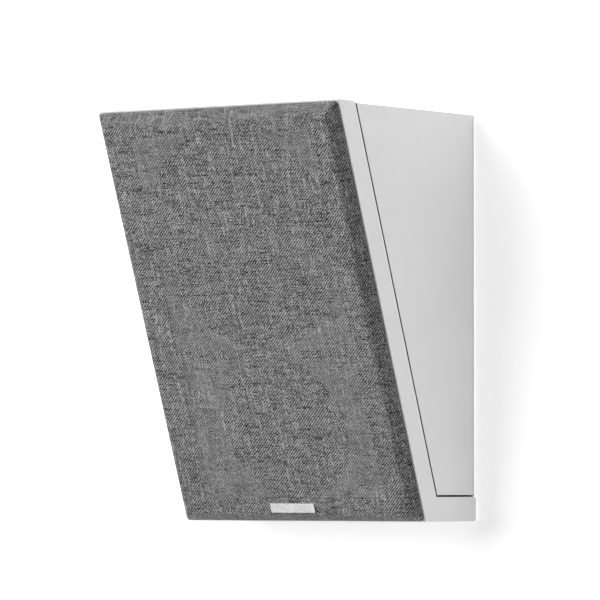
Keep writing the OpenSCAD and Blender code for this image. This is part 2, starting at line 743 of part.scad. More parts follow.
// A bobbin with its winding, standing on the board
module coil(r, h) {
    flange = 1.5;
    translate([0, 0, board_t]) difference() {
        union() {
            disc(r, 0, flange);
            disc(r - 1.5, flange, h - flange);
            disc(r, h - flange, h);
        }
        disc(r * 0.32, -cut, h + cut);
    }
}
module woofer_inductor() color(copper) on_board() translate([-25, 9, 0]) coil(16.5, 16);
module tweeter_inductor() color(copper) on_board() translate([20, 17, 0]) coil(11, 12);
module capacitors() {
    r = 6;
    l = 27;
    color([0.75, 0.62, 0.22]) on_board() for (y = [-3, -18]) translate([8.5, y, board_t + r])
        rotate([0, 90, 0]) cylinder(r = r, h = l);
}
module resistors() {
    color([0.9, 0.9, 0.87]) on_board() for (y = [-15, -25])
        block(-36, -12, y - 3.5, y + 3.5, board_t, board_t + 8);
}
module board_standoffs() {
    color([0.85, 0.85, 0.83]) at_board_screws() tube(3, board_screw_r + screw_gap, -standoff_h, 0);
}
module board_screws() {
    color(steel) at_board_screws() translate([0, 0, board_t]) cap_screw(2.7, 2, board_screw_r, board_screw_l);
}

// ---- terminal cup and binding posts ----

cup_floor = cup_seat + cup_depth;               // the outer face of the cup's floor, from the wall
post_r = 3.5;
rod_r = 2.5;
post_flange_r = 6.5;
post_flange_t = 1.5;
nut_r = 4.6;
nut_t = 3;
rod_end = cup_floor + 9;
post_seat = cup_floor - cup_wall;               // the inner face of the cup's floor
washer_at = post_seat - post_flange_t - 0.3;    // the washer's inner face when screwed home
washer_t = 1.5;
knob_l = 14.5;
knob_at = washer_at - washer_t - 0.1;
knob_end = knob_at - knob_l;
post_end = knob_end + 1.2;
socket_l = 13;
wire_hole_r = 1.6;
thread_gap = 0.05;

module terminal_cup() {
    color([0.1, 0.1, 0.11]) difference() {
        union() {
            at_cup() cup_flange_outline(0, cup_flange_at, cup_seat);
            at_cup() round_block(cup_w + 2 * cup_wall, cup_h + 2 * cup_wall, cup_corner,
                cup_flange_at, cup_floor);
        }
        at_cup() round_block(cup_w, cup_h, cup_corner - cup_wall, -cut, post_seat);
        for (side = [-1, 1]) at_post(side) disc(rod_r + screw_gap, 0, cup_floor + cut);
        at_cup_screws() flat_screw_hole(cup_screw_head, cup_screw_r, screw_gap, cup_screw_l);
    }
}
module cup_seal() {
    color(dark) difference() {
        at_cup() cup_flange_outline(-0.3, cup_seat, cup_seat + cup_seal_t);
        at_cup() round_block(cup_w + 2 * cup_wall + 1, cup_h + 2 * cup_wall + 1, cup_corner, 0, inner_back);
        at_cup_screws() disc(cup_screw_r + 0.5, -cup_screw_l, 0);
    }
}
module cup_screws() color(steel) at_cup_screws() flat_screw(cup_screw_head, cup_screw_r, cup_screw_l);

module post_studs() {
    color([0.83, 0.68, 0.32]) for (side = [-1, 1]) at_post(side) difference() {
        union() {
            disc(post_r, post_end, post_seat);
            disc(post_flange_r, post_seat - post_flange_t, post_seat);
            disc(rod_r, post_seat - cut, rod_end);
        }
        disc(socket_r, post_end - cut, post_end + socket_l);
        translate([-post_r - cut, 0, washer_at - wire_hole_r - 0.6]) rotate([0, 90, 0])
            cylinder(r = wire_hole_r, h = 2 * (post_r + cut), $fn = 48);
    }
}
module post_nuts() {
    color(steel) for (side = [-1, 1]) at_post(side) difference() {
        translate([0, 0, cup_floor]) cylinder(r = nut_r, h = nut_t, $fn = 6);
        disc(rod_r + screw_gap, 0, cup_floor + nut_t + cut);
    }
}
module clamp_washer(side) at_post(side) tube(5.6, post_r + thread_gap, washer_at - washer_t, washer_at);
module red_washer() color(steel) clamp_washer(1);
module black_washer() color(steel) clamp_washer(-1);
module post_knob(side) {
    flutes = 18;
    flute_r = 0.7;
    at_post(side) difference() {
        tube(knob_d / 2, post_r + thread_gap, knob_end, knob_at);
        ring_of(flutes, knob_d / 2 + flute_r * 0.3) disc(flute_r, knob_end + 2, knob_at - 2);
    }
}
module red_knob() color([0.7, 0.06, 0.06]) post_knob(1);
module black_knob() color([0.06, 0.06, 0.06]) post_knob(-1);

// ---- leads inside the cabinet ----

lead_r = 1;
lead_sides = 8;
lead_rings = 20;
function bend(p, t) = pow(1 - t, 3) * p[0] + 3 * pow(1 - t, 2) * t * p[1]
    + 3 * (1 - t) * pow(t, 2) * p[2] + pow(t, 3) * p[3];
function slope(p, t) = pow(1 - t, 2) * (p[1] - p[0]) + 2 * (1 - t) * t * (p[2] - p[1])
    + pow(t, 2) * (p[3] - p[2]);
function unit(v) = v / norm(v);
// A round lead along a cubic curve given by its two ends and two handles
module lead(p) {
    rings = [for (i = [0 : lead_rings]) let(t = i / lead_rings, d = unit(slope(p, t)),
        u = unit(cross(d, [1, 0, 0])), v = cross(d, u))
        [for (k = [0 : lead_sides - 1]) bend(p, t)
            + lead_r * (cos(360 * k / lead_sides) * u + sin(360 * k / lead_sides) * v)]];
    function at(i, k) = i * lead_sides + k % lead_sides;
    polyhedron([for (ring = rings) each ring], concat(
        [[for (k = [0 : lead_sides - 1]) k]],
        [[for (k = [0 : lead_sides - 1]) at(lead_rings, lead_sides - 1 - k)]],
        [for (i = [0 : lead_rings - 1], k = [0 : lead_sides - 1])
            [at(i, k + 1), at(i, k), at(i + 1, k), at(i + 1, k + 1)]]));
}
board_face = -(inner_back + standoff_h + board_t);
function pad(x, y) = [x, board_face, board_z + y];

module input_leads() {
    low_edge = 4 - board_h / 2;
    color([0.25, 0.25, 0.26]) in_frame() for (side = [-1, 1]) let(
        post = [side * post_spacing / 2, -rod_end, cup_z], end = pad(side * 5.5 - 2, low_edge))
        lead([post, post + [0, -9, 0], end + [0, -9, 0], end]);
}
module woofer_leads() {
    x = boss_x + strip_t / 2;
    tip = boss_low - blade_l;
    color([0.25, 0.25, 0.26]) in_frame() for (side = [-1, 1]) let(
        end = on_face(x, woofer_s + side * blade_y, tip), start = pad(board_w / 2 - 3, side * 3.5))
        lead([start, start + [0, -14, 0], on_face(x, woofer_s + side * blade_y, tip - 14), end]);
}
module tweeter_leads() {
    tip = boss_n - blade_l;
    color([0.25, 0.25, 0.26]) in_frame() for (side = [-1, 1]) let(
        blade_s = tweeter_s + side * blade_y, start = pad(2.5 - board_w / 2, side * 3.5))
        lead([start, start + [0, -20 - 6 * side, 0], on_face(t_blade_x, blade_s, tip - 30 + 6 * side),
            on_face(t_blade_x, blade_s, tip)]);
}

front_shell();
shell_base();
cabinet_wrap();
back_panel();
back_plate();
shell_gasket();
front_battens();
rear_battens();
shell_screws();
back_screws();
wall_pads();
wadding();
grille_frame();
grille_cloth();
name_bar();
grille_magnets();
baffle_discs();
woofer_basket();
woofer_seal();
woofer_surround();
woofer_cone();
woofer_dust_cap();
woofer_former();
woofer_winding();
woofer_spider();
woofer_top_plate();
woofer_magnet();
woofer_yoke();
woofer_terminals();
woofer_screws();
tweeter_faceplate();
tweeter_seal();
tweeter_dome();
tweeter_surround();
tweeter_coil();
tweeter_top_plate();
tweeter_magnet();
tweeter_yoke();
tweeter_rear_cup();
tweeter_terminals();
tweeter_screws();
crossover_board();
woofer_inductor();
tweeter_inductor();
capacitors();
resistors();
board_standoffs();
board_screws();
terminal_cup();
cup_seal();
cup_screws();
post_studs();
post_nuts();
red_washer();
black_washer();
red_knob();
black_knob();
input_leads();
woofer_leads();
tweeter_leads();
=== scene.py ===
# %% [markdown]
# # A wall speaker whose front leans out over the room
# Two white boards make an L, a wedge cabinet fills the space behind them, and a cloth grille sits
# on the front, held by magnets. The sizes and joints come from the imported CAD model, in metres:
# X runs along the front, Y towards the wall and Z up. Blender adds the finish, and builds again
# only the pieces whose edges, cloth or wire the CAD solids can't show.

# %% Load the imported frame
import json
import math

import bmesh
import bpy
from mathutils import Matrix, Vector, noise


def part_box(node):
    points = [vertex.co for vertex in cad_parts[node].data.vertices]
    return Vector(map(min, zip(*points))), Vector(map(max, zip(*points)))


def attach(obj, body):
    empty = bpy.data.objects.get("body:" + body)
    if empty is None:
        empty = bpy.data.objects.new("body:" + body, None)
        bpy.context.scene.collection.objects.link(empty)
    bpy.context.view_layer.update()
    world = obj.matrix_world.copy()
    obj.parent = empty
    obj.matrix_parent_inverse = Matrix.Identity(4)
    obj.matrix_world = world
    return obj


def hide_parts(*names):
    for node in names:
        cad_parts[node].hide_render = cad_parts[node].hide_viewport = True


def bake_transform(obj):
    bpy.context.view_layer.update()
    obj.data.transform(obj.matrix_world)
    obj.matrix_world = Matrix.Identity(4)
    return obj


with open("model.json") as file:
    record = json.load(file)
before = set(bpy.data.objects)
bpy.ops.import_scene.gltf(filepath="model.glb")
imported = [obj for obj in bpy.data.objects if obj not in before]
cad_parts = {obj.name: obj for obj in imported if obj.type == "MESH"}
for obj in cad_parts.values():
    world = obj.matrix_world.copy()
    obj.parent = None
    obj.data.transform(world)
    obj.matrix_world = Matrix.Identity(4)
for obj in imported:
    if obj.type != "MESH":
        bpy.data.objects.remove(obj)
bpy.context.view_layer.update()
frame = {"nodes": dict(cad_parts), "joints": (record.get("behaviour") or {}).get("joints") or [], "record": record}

scene = bpy.context.scene

# %% [markdown]
# ## The camera
# A long lens far away keeps the upright edges nearly parallel, so that the shape reads true. The
# camera stands to the right of the speaker and a little below it, and looks slightly up, because
# the front face leans over. It aims with a direction, which to_track_quat turns into a rotation.

# %% Camera
bearing = math.radians(35.68)
swing, lift = -0.00144, 0.03583         # how far the aim leans to the right and up, as slopes
level_right = Vector((math.cos(bearing), math.sin(bearing), 0))
level_ahead = Vector((-math.sin(bearing), math.cos(bearing), 0))
aim = level_ahead + swing * level_right + lift * Vector((0, 0, 1))
camera_data = bpy.data.cameras.new("camera")
camera_data.lens = 299.2
camera_data.sensor_width = 36
camera_data.clip_end = 60
camera = bpy.data.objects.new("camera", camera_data)
camera.location = (1.7868, -2.5405, -0.1789)
camera.rotation_euler = aim.to_track_quat("-Z", "Y").to_euler()
scene.collection.objects.link(camera)
scene.camera = camera
print("camera looks up by", round(math.degrees(math.asin(aim.normalized().z)), 2), "degrees")

# %% [markdown]
# ## Two drawing boards
# Most pieces sit square to the leaning front or square to the wall. A matrix for each lets a
# piece be made flat, with plain sizes, and then moved into place in its mesh. The front's
# directions come from the slide joint of the grille, which pulls straight off the face.

# %% Directions and places on the front face and on the wall
CLOSE = 1e-5        # two places that lie nearer than this, in metres, are the same place
grille_pull = next(j for j in frame["joints"] if j["name"] == "grille_pull")
out = Vector(grille_pull["axis"]).normalized()
right = Vector((1, 0, 0))
up_face = out.cross(right)
shell_low, shell_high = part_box("front_shell")
face_length = (shell_high.z - shell_low.z) / up_face.z
face_foot = Vector((0, shell_low.y - face_length * up_face.y, shell_low.z))


def board(origin, x_way, y_way, z_way):
    """The matrix that takes a flat drawing to its place."""
    turn = Matrix((x_way, y_way, z_way)).transposed().to_4x4()
    return Matrix.Translation(origin) @ turn


on_face = board(face_foot, right, up_face, out)
on_wall = board((0, 0, shell_low.z), right, Vector((0, 0, 1)), Vector((0, -1, 0)))


def span(node, place):
    """Lowest and highest corner of a CAD node, read in a drawing board's own directions."""
    back = place.inverted()
    points = [back @ v.co for v in frame["nodes"][node].data.vertices]
    low = Vector([min(p[i] for p in points) for i in range(3)])
    return low, Vector([max(p[i] for p in points) for i in range(3)])


def centred(place, node):
    """The same drawing board with its origin under the middle of a node, on the board's plane."""
    low, high = span(node, place)
    return place @ Matrix.Translation(((low.x + high.x) / 2, (low.y + high.y) / 2, 0))


at_woofer = centred(on_face, "woofer_seal")
at_tweeter = centred(on_face, "tweeter_seal")
print("face length", round(face_length * 1000, 2), "mm; woofer at",
      [round(c * 1000, 1) for c in at_woofer.translation])
print("tweeter at", [round(c * 1000, 1) for c in at_tweeter.translation])

# %% [markdown]
# ## Stage
# The speaker hangs on a wall, and the wall gives two things that the eye expects: a soft shadow
# beside the cabinet, and light thrown back onto its side. It is a big sheet with a window cut
# behind the speaker, so that the back is lit too, and it is clear from behind, so that the back
# can be looked at. The floor is far below. Both are pale, and add a little light of their own for
# the camera alone, which turns them white without brightening the object. The floor throws back
# only half of its light, so that what leans over it stays darker than what faces the lamp.

# %% Stage materials
def blank_material(name):
    """A material with an empty node tree and its output node."""
    material = bpy.data.materials.new(name)
    material.use_nodes = True
    tree = material.node_tree
    tree.nodes.clear()
    return material, tree, tree.nodes.new("ShaderNodeOutputMaterial")


def node(tree, kind, inputs=(), **settings):
    """Adds a shader node: settings are its options, inputs are values or other nodes' sockets."""
    made = tree.nodes.new("ShaderNode" + kind)
    for key, value in settings.items():
        setattr(made, key, value)
    for key, value in dict(inputs).items():
        if isinstance(value, bpy.types.NodeSocket):
            tree.links.new(value, made.inputs[key])
        else:
            made.inputs[key].default_value = value
    return made


def calc(tree, operation, *values):
    """A Math node's result."""
    return node(tree, "Math", dict(enumerate(values)), operation=operation).outputs[0]


def seen_directly(tree):
    """1 for rays from the camera, or by way of a mirror or a lens, and 0 for lighting rays."""
    path = node(tree, "LightPath")
    seen = calc(tree, "MAXIMUM", path.outputs["Is Camera Ray"], path.outputs["Is Glossy Ray"])
    return calc(tree, "MAXIMUM", seen, path.outputs["Is Transmission Ray"])


def stage_material(name, bounce, shown, glow):
    """bounce is the paint that lighting rays meet. The camera meets shown, lifted by a glow."""
    material, tree, output = blank_material(name)
    seen = seen_directly(tree)
    colour = node(tree, "Mix", {0: seen, 6: (bounce,) * 3 + (1,), 7: (shown,) * 3 + (1,)},
                  data_type="RGBA")
    paint = node(tree, "BsdfPrincipled", {
        "Base Color": colour.outputs[2], "Roughness": 1, "Specular IOR Level": 0,
        "Emission Color": (1, 1, 1, 1), "Emission Strength": calc(tree, "MULTIPLY", seen, glow)})
    clear = node(tree, "BsdfTransparent")
    behind = node(tree, "NewGeometry").outputs["Backfacing"]
    mix = node(tree, "MixShader", {0: behind, 1: paint.outputs[0], 2: clear.outputs[0]})
    tree.links.new(mix.outputs[0], output.inputs["Surface"])
    return material


# %% Wall and floor
def add_stage(name, bm, material):
    """Makes an object that belongs to the surroundings and not to the speaker."""
    mesh = bpy.data.meshes.new(name)
    bm.to_mesh(mesh)
    bm.free()
    mesh.materials.append(material)
    piece = bpy.data.objects.new(name, mesh)
    scene.collection.objects.link(piece)
    return piece


wall_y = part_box("wall_pads")[1].y
back_low, back_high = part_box("back_plate")
window_rim = 0.003          # the wall reaches in behind the back plate by this
wall_reach = 4
wall = bmesh.new()
bmesh.ops.create_grid(wall, x_segments=1, y_segments=1, size=1)
window_x = (back_high.x - back_low.x) / 2 - window_rim
window_z = (back_high.z - back_low.z) / 2 - window_rim
bmesh.ops.scale(wall, vec=(window_x, window_z, 1), verts=wall.verts)
middle = wall.faces[:]
bmesh.ops.inset_region(wall, faces=middle, thickness=-wall_reach, use_boundary=True,
                       use_even_offset=True)
bmesh.ops.delete(wall, geom=middle, context="FACES")
back_middle = (0, wall_y, (back_low.z + back_high.z) / 2)
wall.transform(board(back_middle, right, Vector((0, 0, 1)), Vector((0, -1, 0))))
wall.normal_update()
if wall.faces[:][0].normal.y > 0:
    bmesh.ops.reverse_faces(wall, faces=wall.faces)
wall_piece = add_stage("wall", wall, stage_material("wall_white", 0.9, 1.0, 0.46))
wall_piece.visible_shadow = False

floor_z = shell_low.z - 1.2
floor = bmesh.new()
bmesh.ops.create_grid(floor, x_segments=1, y_segments=1, size=12)
bmesh.ops.translate(floor, verts=floor.verts, vec=(0, 0, floor_z))
add_stage("floor", floor, stage_material("floor_white", 0.55, 0.9, 0.85))
print("wall stands at", round(wall_y * 1000, 2), "mm, floor at", round(floor_z * 1000), "mm")

# %% [markdown]
# ## Light
# One very large soft lamp from the left front does most of the work, a pale sky fills the
# shadows, and a weaker lamp far to the right, behind the wall's line, models the side and the
# back. A lamp's power follows from the brightness that a white surface facing it should have.

# %% Lamps and sky
def soft_lamp(name, toward, distance, size, brightness):
    """A square lamp. A white face turned to it has about this brightness."""
    data = bpy.data.lights.new(name, "AREA")
    data.size = size
    data.energy = brightness * math.pi ** 2 * distance ** 2
    lamp = bpy.data.objects.new(name, data)
    lamp.location = Vector(toward).normalized() * distance + Vector((0, -0.05, -0.08))
    lamp.rotation_euler = (-Vector(toward)).to_track_quat("-Z", "Y").to_euler()
    lamp.visible_camera = False
    scene.collection.objects.link(lamp)
    return lamp


soft_lamp("key_lamp", (-0.48, -0.80, 0.38), 2.6, 2.2, 1.06)
soft_lamp("side_lamp", (0.50, 0.86, 0.10), 2.6, 2.0, 0.78)
world = bpy.data.worlds.new("sky")
world.use_nodes = True
sky = world.node_tree
sky.nodes.clear()
sky_strength = node(sky, "Mix", {0: seen_directly(sky), 2: 0.185, 3: 1.0}, data_type="FLOAT")
backdrop = node(sky, "Background", {"Color": (1, 1, 1, 1), "Strength": sky_strength.outputs[0]})
sky.links.new(backdrop.outputs[0], node(sky, "OutputWorld").inputs["Surface"])
scene.world = world
scene.view_settings.view_transform = "Standard"

# %% [markdown]
# ## Shared effects
# A finish has a colour that varies, a roughness that varies and a relief. Each effect below is a
# node group that turns a place into a Tone from 0 to 1 and a Height from 0 to 1. A material then
# chooses two colours, two roughnesses and a relief depth, so that one group serves many finishes.

# %% Building a node group
def start_effect(name, *extra):
    """A node group with a Vector input, extra number inputs, and Tone and Height outputs."""
    tree = bpy.data.node_groups.new(name, "ShaderNodeTree")
    tree.interface.new_socket("Vector", in_out="INPUT", socket_type="NodeSocketVector")
    for label, value in extra:
        number = tree.interface.new_socket(label, in_out="INPUT", socket_type="NodeSocketFloat")
        number.default_value = value
    for label in ("Tone", "Height"):
        tree.interface.new_socket(label, in_out="OUTPUT", socket_type="NodeSocketFloat")
    return tree, tree.nodes.new("NodeGroupInput"), tree.nodes.new("NodeGroupOutput")


def end_effect(tree, end, tone, height):
    """Joins the two results to the group's outputs, and hands the group back."""
    tree.links.new(tone, end.inputs["Tone"])
    tree.links.new(height, end.inputs["Height"])
    print("effect", tree.name, len(tree.nodes), "nodes")
    return tree


def stretched(tree, vector, x=1, y=1, z=1):
    """The place, scaled on each axis."""
    return node(tree, "VectorMath", {0: vector, 1: (x, y, z)}, operation="MULTIPLY").outputs[0]


def cloudy(tree, vector, scale, detail=2, distortion=0):
    """A noise value near 0.5."""
    return node(tree, "TexNoise", {"Vector": vector, "Scale": scale, "Detail": detail,
                                   "Distortion": distortion}).outputs["Fac"]


def ramped(tree, value, low, high, to_low=0, to_high=1):
    """Spreads low..high over to_low..to_high, and stops at the ends."""
    return node(tree, "MapRange", {0: value, 1: low, 2: high, 3: to_low, 4: to_high}).outputs[0]


def mixed(tree, share, first, second):
    """The first value where share is 0, and the second where it is 1."""
    return node(tree, "Mix", {0: share, 2: first, 3: second}, data_type="FLOAT").outputs[0]


# %% [markdown]
# ### Paint, moulded plastic and board
# Sprayed paint flows out into a faint orange peel, about a millimetre across, and its gloss
# changes slowly over a hand's width. Moulded plastic has a finer, sharper grain from the tool.
# Pressed board shows matted fibres and a few dark flecks.

# %% Sprayed paint, moulded grain and pressed fibre
tree, start, end = start_effect("sprayed_paint")
peel = cloudy(tree, start.outputs["Vector"], 850, 1)
mist = cloudy(tree, start.outputs["Vector"], 3200, 1)
slow = cloudy(tree, start.outputs["Vector"], 18, 3)
sprayed_paint = end_effect(tree, end, ramped(tree, slow, 0.3, 0.7), mixed(tree, 0.3, peel, mist))

tree, start, end = start_effect("moulded_grain")
cells = node(tree, "TexVoronoi", {"Vector": start.outputs["Vector"], "Scale": 1600}, feature="SMOOTH_F1")
slow = cloudy(tree, start.outputs["Vector"], 60, 4)
moulded_grain = end_effect(tree, end, ramped(tree, slow, 0.32, 0.68),
                           ramped(tree, cells.outputs["Distance"], 0, 0.7))

tree, start, end = start_effect("pressed_fibre")
mat_one = cloudy(tree, stretched(tree, start.outputs["Vector"], 0.25, 1, 1), 1500, 3, 1.2)
mat_two = cloudy(tree, stretched(tree, start.outputs["Vector"], 1, 0.25, 0.3), 1300, 3, 1.2)
flecks = ramped(tree, cloudy(tree, start.outputs["Vector"], 700, 2), 0.28, 0.36)
mat = mixed(tree, 0.5, mat_one, mat_two)
pressed_fibre = end_effect(tree, end, calc(tree, "MULTIPLY", ramped(tree, mat, 0.32, 0.66), flecks), mat)

# %% [markdown]
# ### Wood, metal and castings
# Pine is long soft streaks with darker lines between. Turned or rolled metal has hair-fine
# scratches one way and a few wandering marks. A casting is coarser, with small pits.

# %% Wood, drawn metal and cast skin
tree, start, end = start_effect("pine_grain")
lengthwise = stretched(tree, start.outputs["Vector"], 1, 1, 0.05)
rings = node(tree, "TexWave", {"Vector": lengthwise, "Scale": 95, "Distortion": 6, "Detail": 3,
                               "Detail Scale": 2}, wave_type="RINGS").outputs["Fac"]
pores = cloudy(tree, lengthwise, 2600, 2)
pine_grain = end_effect(tree, end, mixed(tree, 0.3, rings, pores), mixed(tree, 0.6, rings, pores))

tree, start, end = start_effect("drawn_metal")
hair = cloudy(tree, stretched(tree, start.outputs["Vector"], 0.04, 1, 1), 4200, 2)
marks = cloudy(tree, start.outputs["Vector"], 240, 5, 1.5)
worn = mixed(tree, 0.5, ramped(tree, hair, 0.3, 0.7), ramped(tree, marks, 0.35, 0.65))
drawn_metal = end_effect(tree, end, worn, hair)

tree, start, end = start_effect("cast_skin")
pits = node(tree, "TexVoronoi", {"Vector": start.outputs["Vector"], "Scale": 750}).outputs["Distance"]
lumps = cloudy(tree, start.outputs["Vector"], 420, 4)
rough_skin = mixed(tree, 0.5, ramped(tree, pits, 0, 0.35), lumps)
cast_skin = end_effect(tree, end, ramped(tree, lumps, 0.3, 0.7), rough_skin)

# %% [markdown]
# ### Foam, wool and wound wire
# Foam is packed cells, wadding is loose crossing fibres, and a coil is turns of round wire laid
# side by side along its axis. The turns are a sine wave along Z with the wire's pitch, and the
# grooves between them are coloured darker, which is painted shade.

# %% Foam cells, loose fibres and turns of wire
tree, start, end = start_effect("foam_cells")
bubbles = node(tree, "TexVoronoi", {"Vector": start.outputs["Vector"], "Scale": 1900}).outputs["Distance"]
foam_cells = end_effect(tree, end, ramped(tree, bubbles, 0.1, 0.6), ramped(tree, bubbles, 0, 0.6))

tree, start, end = start_effect("loose_fibres")
one_way = cloudy(tree, stretched(tree, start.outputs["Vector"], 0.2, 1, 0.6), 1100, 3, 2.5)
other_way = cloudy(tree, stretched(tree, start.outputs["Vector"], 1, 0.5, 0.2), 900, 3, 2.5)
felted = calc(tree, "MAXIMUM", one_way, other_way)
clumps = cloudy(tree, start.outputs["Vector"], 110, 3)
fleece = mixed(tree, 0.35, ramped(tree, felted, 0.4, 0.75), clumps)
loose_fibres = end_effect(tree, end, ramped(tree, clumps, 0.3, 0.7), fleece)

tree, start, end = start_effect("wire_turns", ("Pitch", 0.0005))
along = node(tree, "SeparateXYZ", {0: start.outputs["Vector"]}).outputs["Z"]
turn_angle = calc(tree, "MULTIPLY", calc(tree, "DIVIDE", along, start.outputs["Pitch"]), 2 * math.pi)
crest = ramped(tree, calc(tree, "SINE", turn_angle), -1, 1)
tarnish = cloudy(tree, start.outputs["Vector"], 160, 3)
# The dark grooves between the turns are painted shade; the tarnish noise is the wire's own colour.
groove_shade_and_tarnish = calc(tree, "MULTIPLY", crest, ramped(tree, tarnish, 0.25, 0.7, 0.6, 1))
wire_turns = end_effect(tree, end, groove_shade_and_tarnish, crest)

# %% [markdown]
# ### Woven threads
# Cloth is counted in threads. Dividing the place by the thread pitch numbers each thread, and the
# fraction left over says how far across it a point lies. A cosine rounds the thread off, and the
# tone is darkened towards each thread's edges, down to 0.3 of itself, which is painted shade. In a
# twill, the thread on top steps sideways by one in each row, so a remainder of column minus row
# decides who is on top, and the steps line up as diagonals. Each thread has its own shade along
# its length, from a noise that is read once per thread, with a few thick slubs. The group also
# puts out Gap, which is 1 in the small square holes between the threads.

# %% Woven threads
def weave_effect(name, over, repeat):
    """over of every repeat crossings show the upright thread."""
    tree, start, end = start_effect(name, ("Pitch", 0.0006), ("Cover", 0.5), ("Heather", 1), ("Run", 14),
                                    ("Two Tone", 0), ("Fleck", 0), ("Level", 0.5))
    tree.interface.new_socket("Gap", in_out="OUTPUT", socket_type="NodeSocketFloat")
    per_metre = calc(tree, "DIVIDE", 1, start.outputs["Pitch"])
    threads = node(tree, "VectorMath", {0: start.outputs["Vector"], 3: per_metre},
                   operation="SCALE").outputs[0]
    split = node(tree, "SeparateXYZ", {0: threads})
    sway = calc(tree, "MULTIPLY", cloudy(tree, threads, 0.09, 2), 1.6)
    drift = calc(tree, "MULTIPLY", cloudy(tree, threads, 0.12, 2), 1.6)
    across = calc(tree, "ADD", split.outputs["X"], sway)
    upward = calc(tree, "ADD", split.outputs["Y"], drift)
    column, row = calc(tree, "FLOOR", across), calc(tree, "FLOOR", upward)
    crowns, shades = [], []
    for place, number, along, seed in ((across, column, upward, 1.7), (upward, row, across, 8.3)):
        off = calc(tree, "SUBTRACT", calc(tree, "SUBTRACT", place, number), 0.5)
        crowns.append(calc(tree, "COSINE", calc(tree, "MULTIPLY", off, math.pi)))
        run = calc(tree, "DIVIDE", along, start.outputs["Run"])
        shade = -0.45
        for spread, stretch, share in ((3.17, 1, 0.9), (0.41, 3, 0.5), (2.3, 5, 0.5)):
            spot = node(tree, "CombineXYZ", {0: calc(tree, "MULTIPLY", number, spread), 2: seed,
                                             1: calc(tree, "DIVIDE", run, stretch)}).outputs[0]
            shade = calc(tree, "ADD", shade, calc(tree, "MULTIPLY", cloudy(tree, spot, 1, 3), share))
        shades.append(shade)
    step = calc(tree, "FLOORED_MODULO", calc(tree, "SUBTRACT", column, row), repeat)
    upright_on_top = calc(tree, "LESS_THAN", step, over - 0.5)
    high = calc(tree, "MULTIPLY", crowns[0], mixed(tree, upright_on_top, 0.5, 1.0))
    low = calc(tree, "MULTIPLY", crowns[1], mixed(tree, upright_on_top, 1.0, 0.5))
    height = calc(tree, "MAXIMUM", high, low)
    showing = calc(tree, "GREATER_THAN", high, low)
    shade = calc(tree, "SUBTRACT", mixed(tree, showing, shades[1], shades[0]), 0.5)
    crossing = node(tree, "CombineXYZ", {0: column, 1: row}).outputs[0]
    speck = calc(tree, "SUBTRACT", node(tree, "TexWhiteNoise", {"Vector": crossing}).outputs[0], 0.5)
    two_tone = calc(tree, "SUBTRACT", 0.5, showing)
    tone = start.outputs["Level"]
    for part, share in ((shade, "Heather"), (two_tone, "Two Tone"), (speck, "Fleck")):
        tone = calc(tree, "ADD", tone, calc(tree, "MULTIPLY", part, start.outputs[share]))
    # Thread edges and holes are darkened down to 0.3 of the tone: painted shade across each thread.
    lit = calc(tree, "MULTIPLY", ramped(tree, height, 0.05, 0.8, 0.3, 1), tone)
    edge = calc(tree, "COSINE", calc(tree, "MULTIPLY", start.outputs["Cover"], math.pi / 2))
    gap = calc(tree, "LESS_THAN", calc(tree, "MAXIMUM", crowns[0], crowns[1]), edge)
    tree.links.new(gap, end.inputs["Gap"])
    return end_effect(tree, end, node(tree, "Clamp", {0: lit}).outputs[0], height)


twill = weave_effect("twill_weave", 2, 3)
plain_weave = weave_effect("plain_weave", 1, 2)

# %% [markdown]
# ### Dust
# Dust settles on what faces up. The group compares the surface's direction with Z, breaks the
# edge of the film with noise, and puts out how much of it lies there.

# %% Settled dust
settled_dust = bpy.data.node_groups.new("settled_dust", "ShaderNodeTree")
settled_dust.interface.new_socket("Amount", in_out="INPUT", socket_type="NodeSocketFloat")
settled_dust.interface.new_socket("Mask", in_out="OUTPUT", socket_type="NodeSocketFloat")
start = settled_dust.nodes.new("NodeGroupInput")
end = settled_dust.nodes.new("NodeGroupOutput")
surface_normal = node(settled_dust, "NewGeometry").outputs["Normal"]
facing = node(settled_dust, "SeparateXYZ", {0: surface_normal}).outputs["Z"]
object_place = node(settled_dust, "TexCoord").outputs["Object"]
film = ramped(settled_dust, cloudy(settled_dust, object_place, 90, 5), 0.3, 0.8)
lying = calc(settled_dust, "MULTIPLY", ramped(settled_dust, facing, 0.25, 0.95), film)
settled_dust.links.new(calc(settled_dust, "MULTIPLY", lying, start.outputs["Amount"]), end.inputs["Mask"])
print("effect", settled_dust.name, len(settled_dust.nodes), "nodes")

# %% [markdown]
# ## Finishes
# Each finish is named after the record's material slot, so that the CAD pieces can take theirs by
# name. The function reads a place, runs an effect, mixes two colours and two roughnesses by its
# Tone, lays dust over them and makes the relief from its Height. The relief is a real depth in
# metres. Numbers that are the same all over, such as sheen, go straight on the shader.

# %% A finish from an effect
finishes = {}


def grey(value, tint=(1, 1, 1)):
    """A colour of one brightness, tinted a little if asked."""
    return tuple(value * t for t in tint) + (1,)


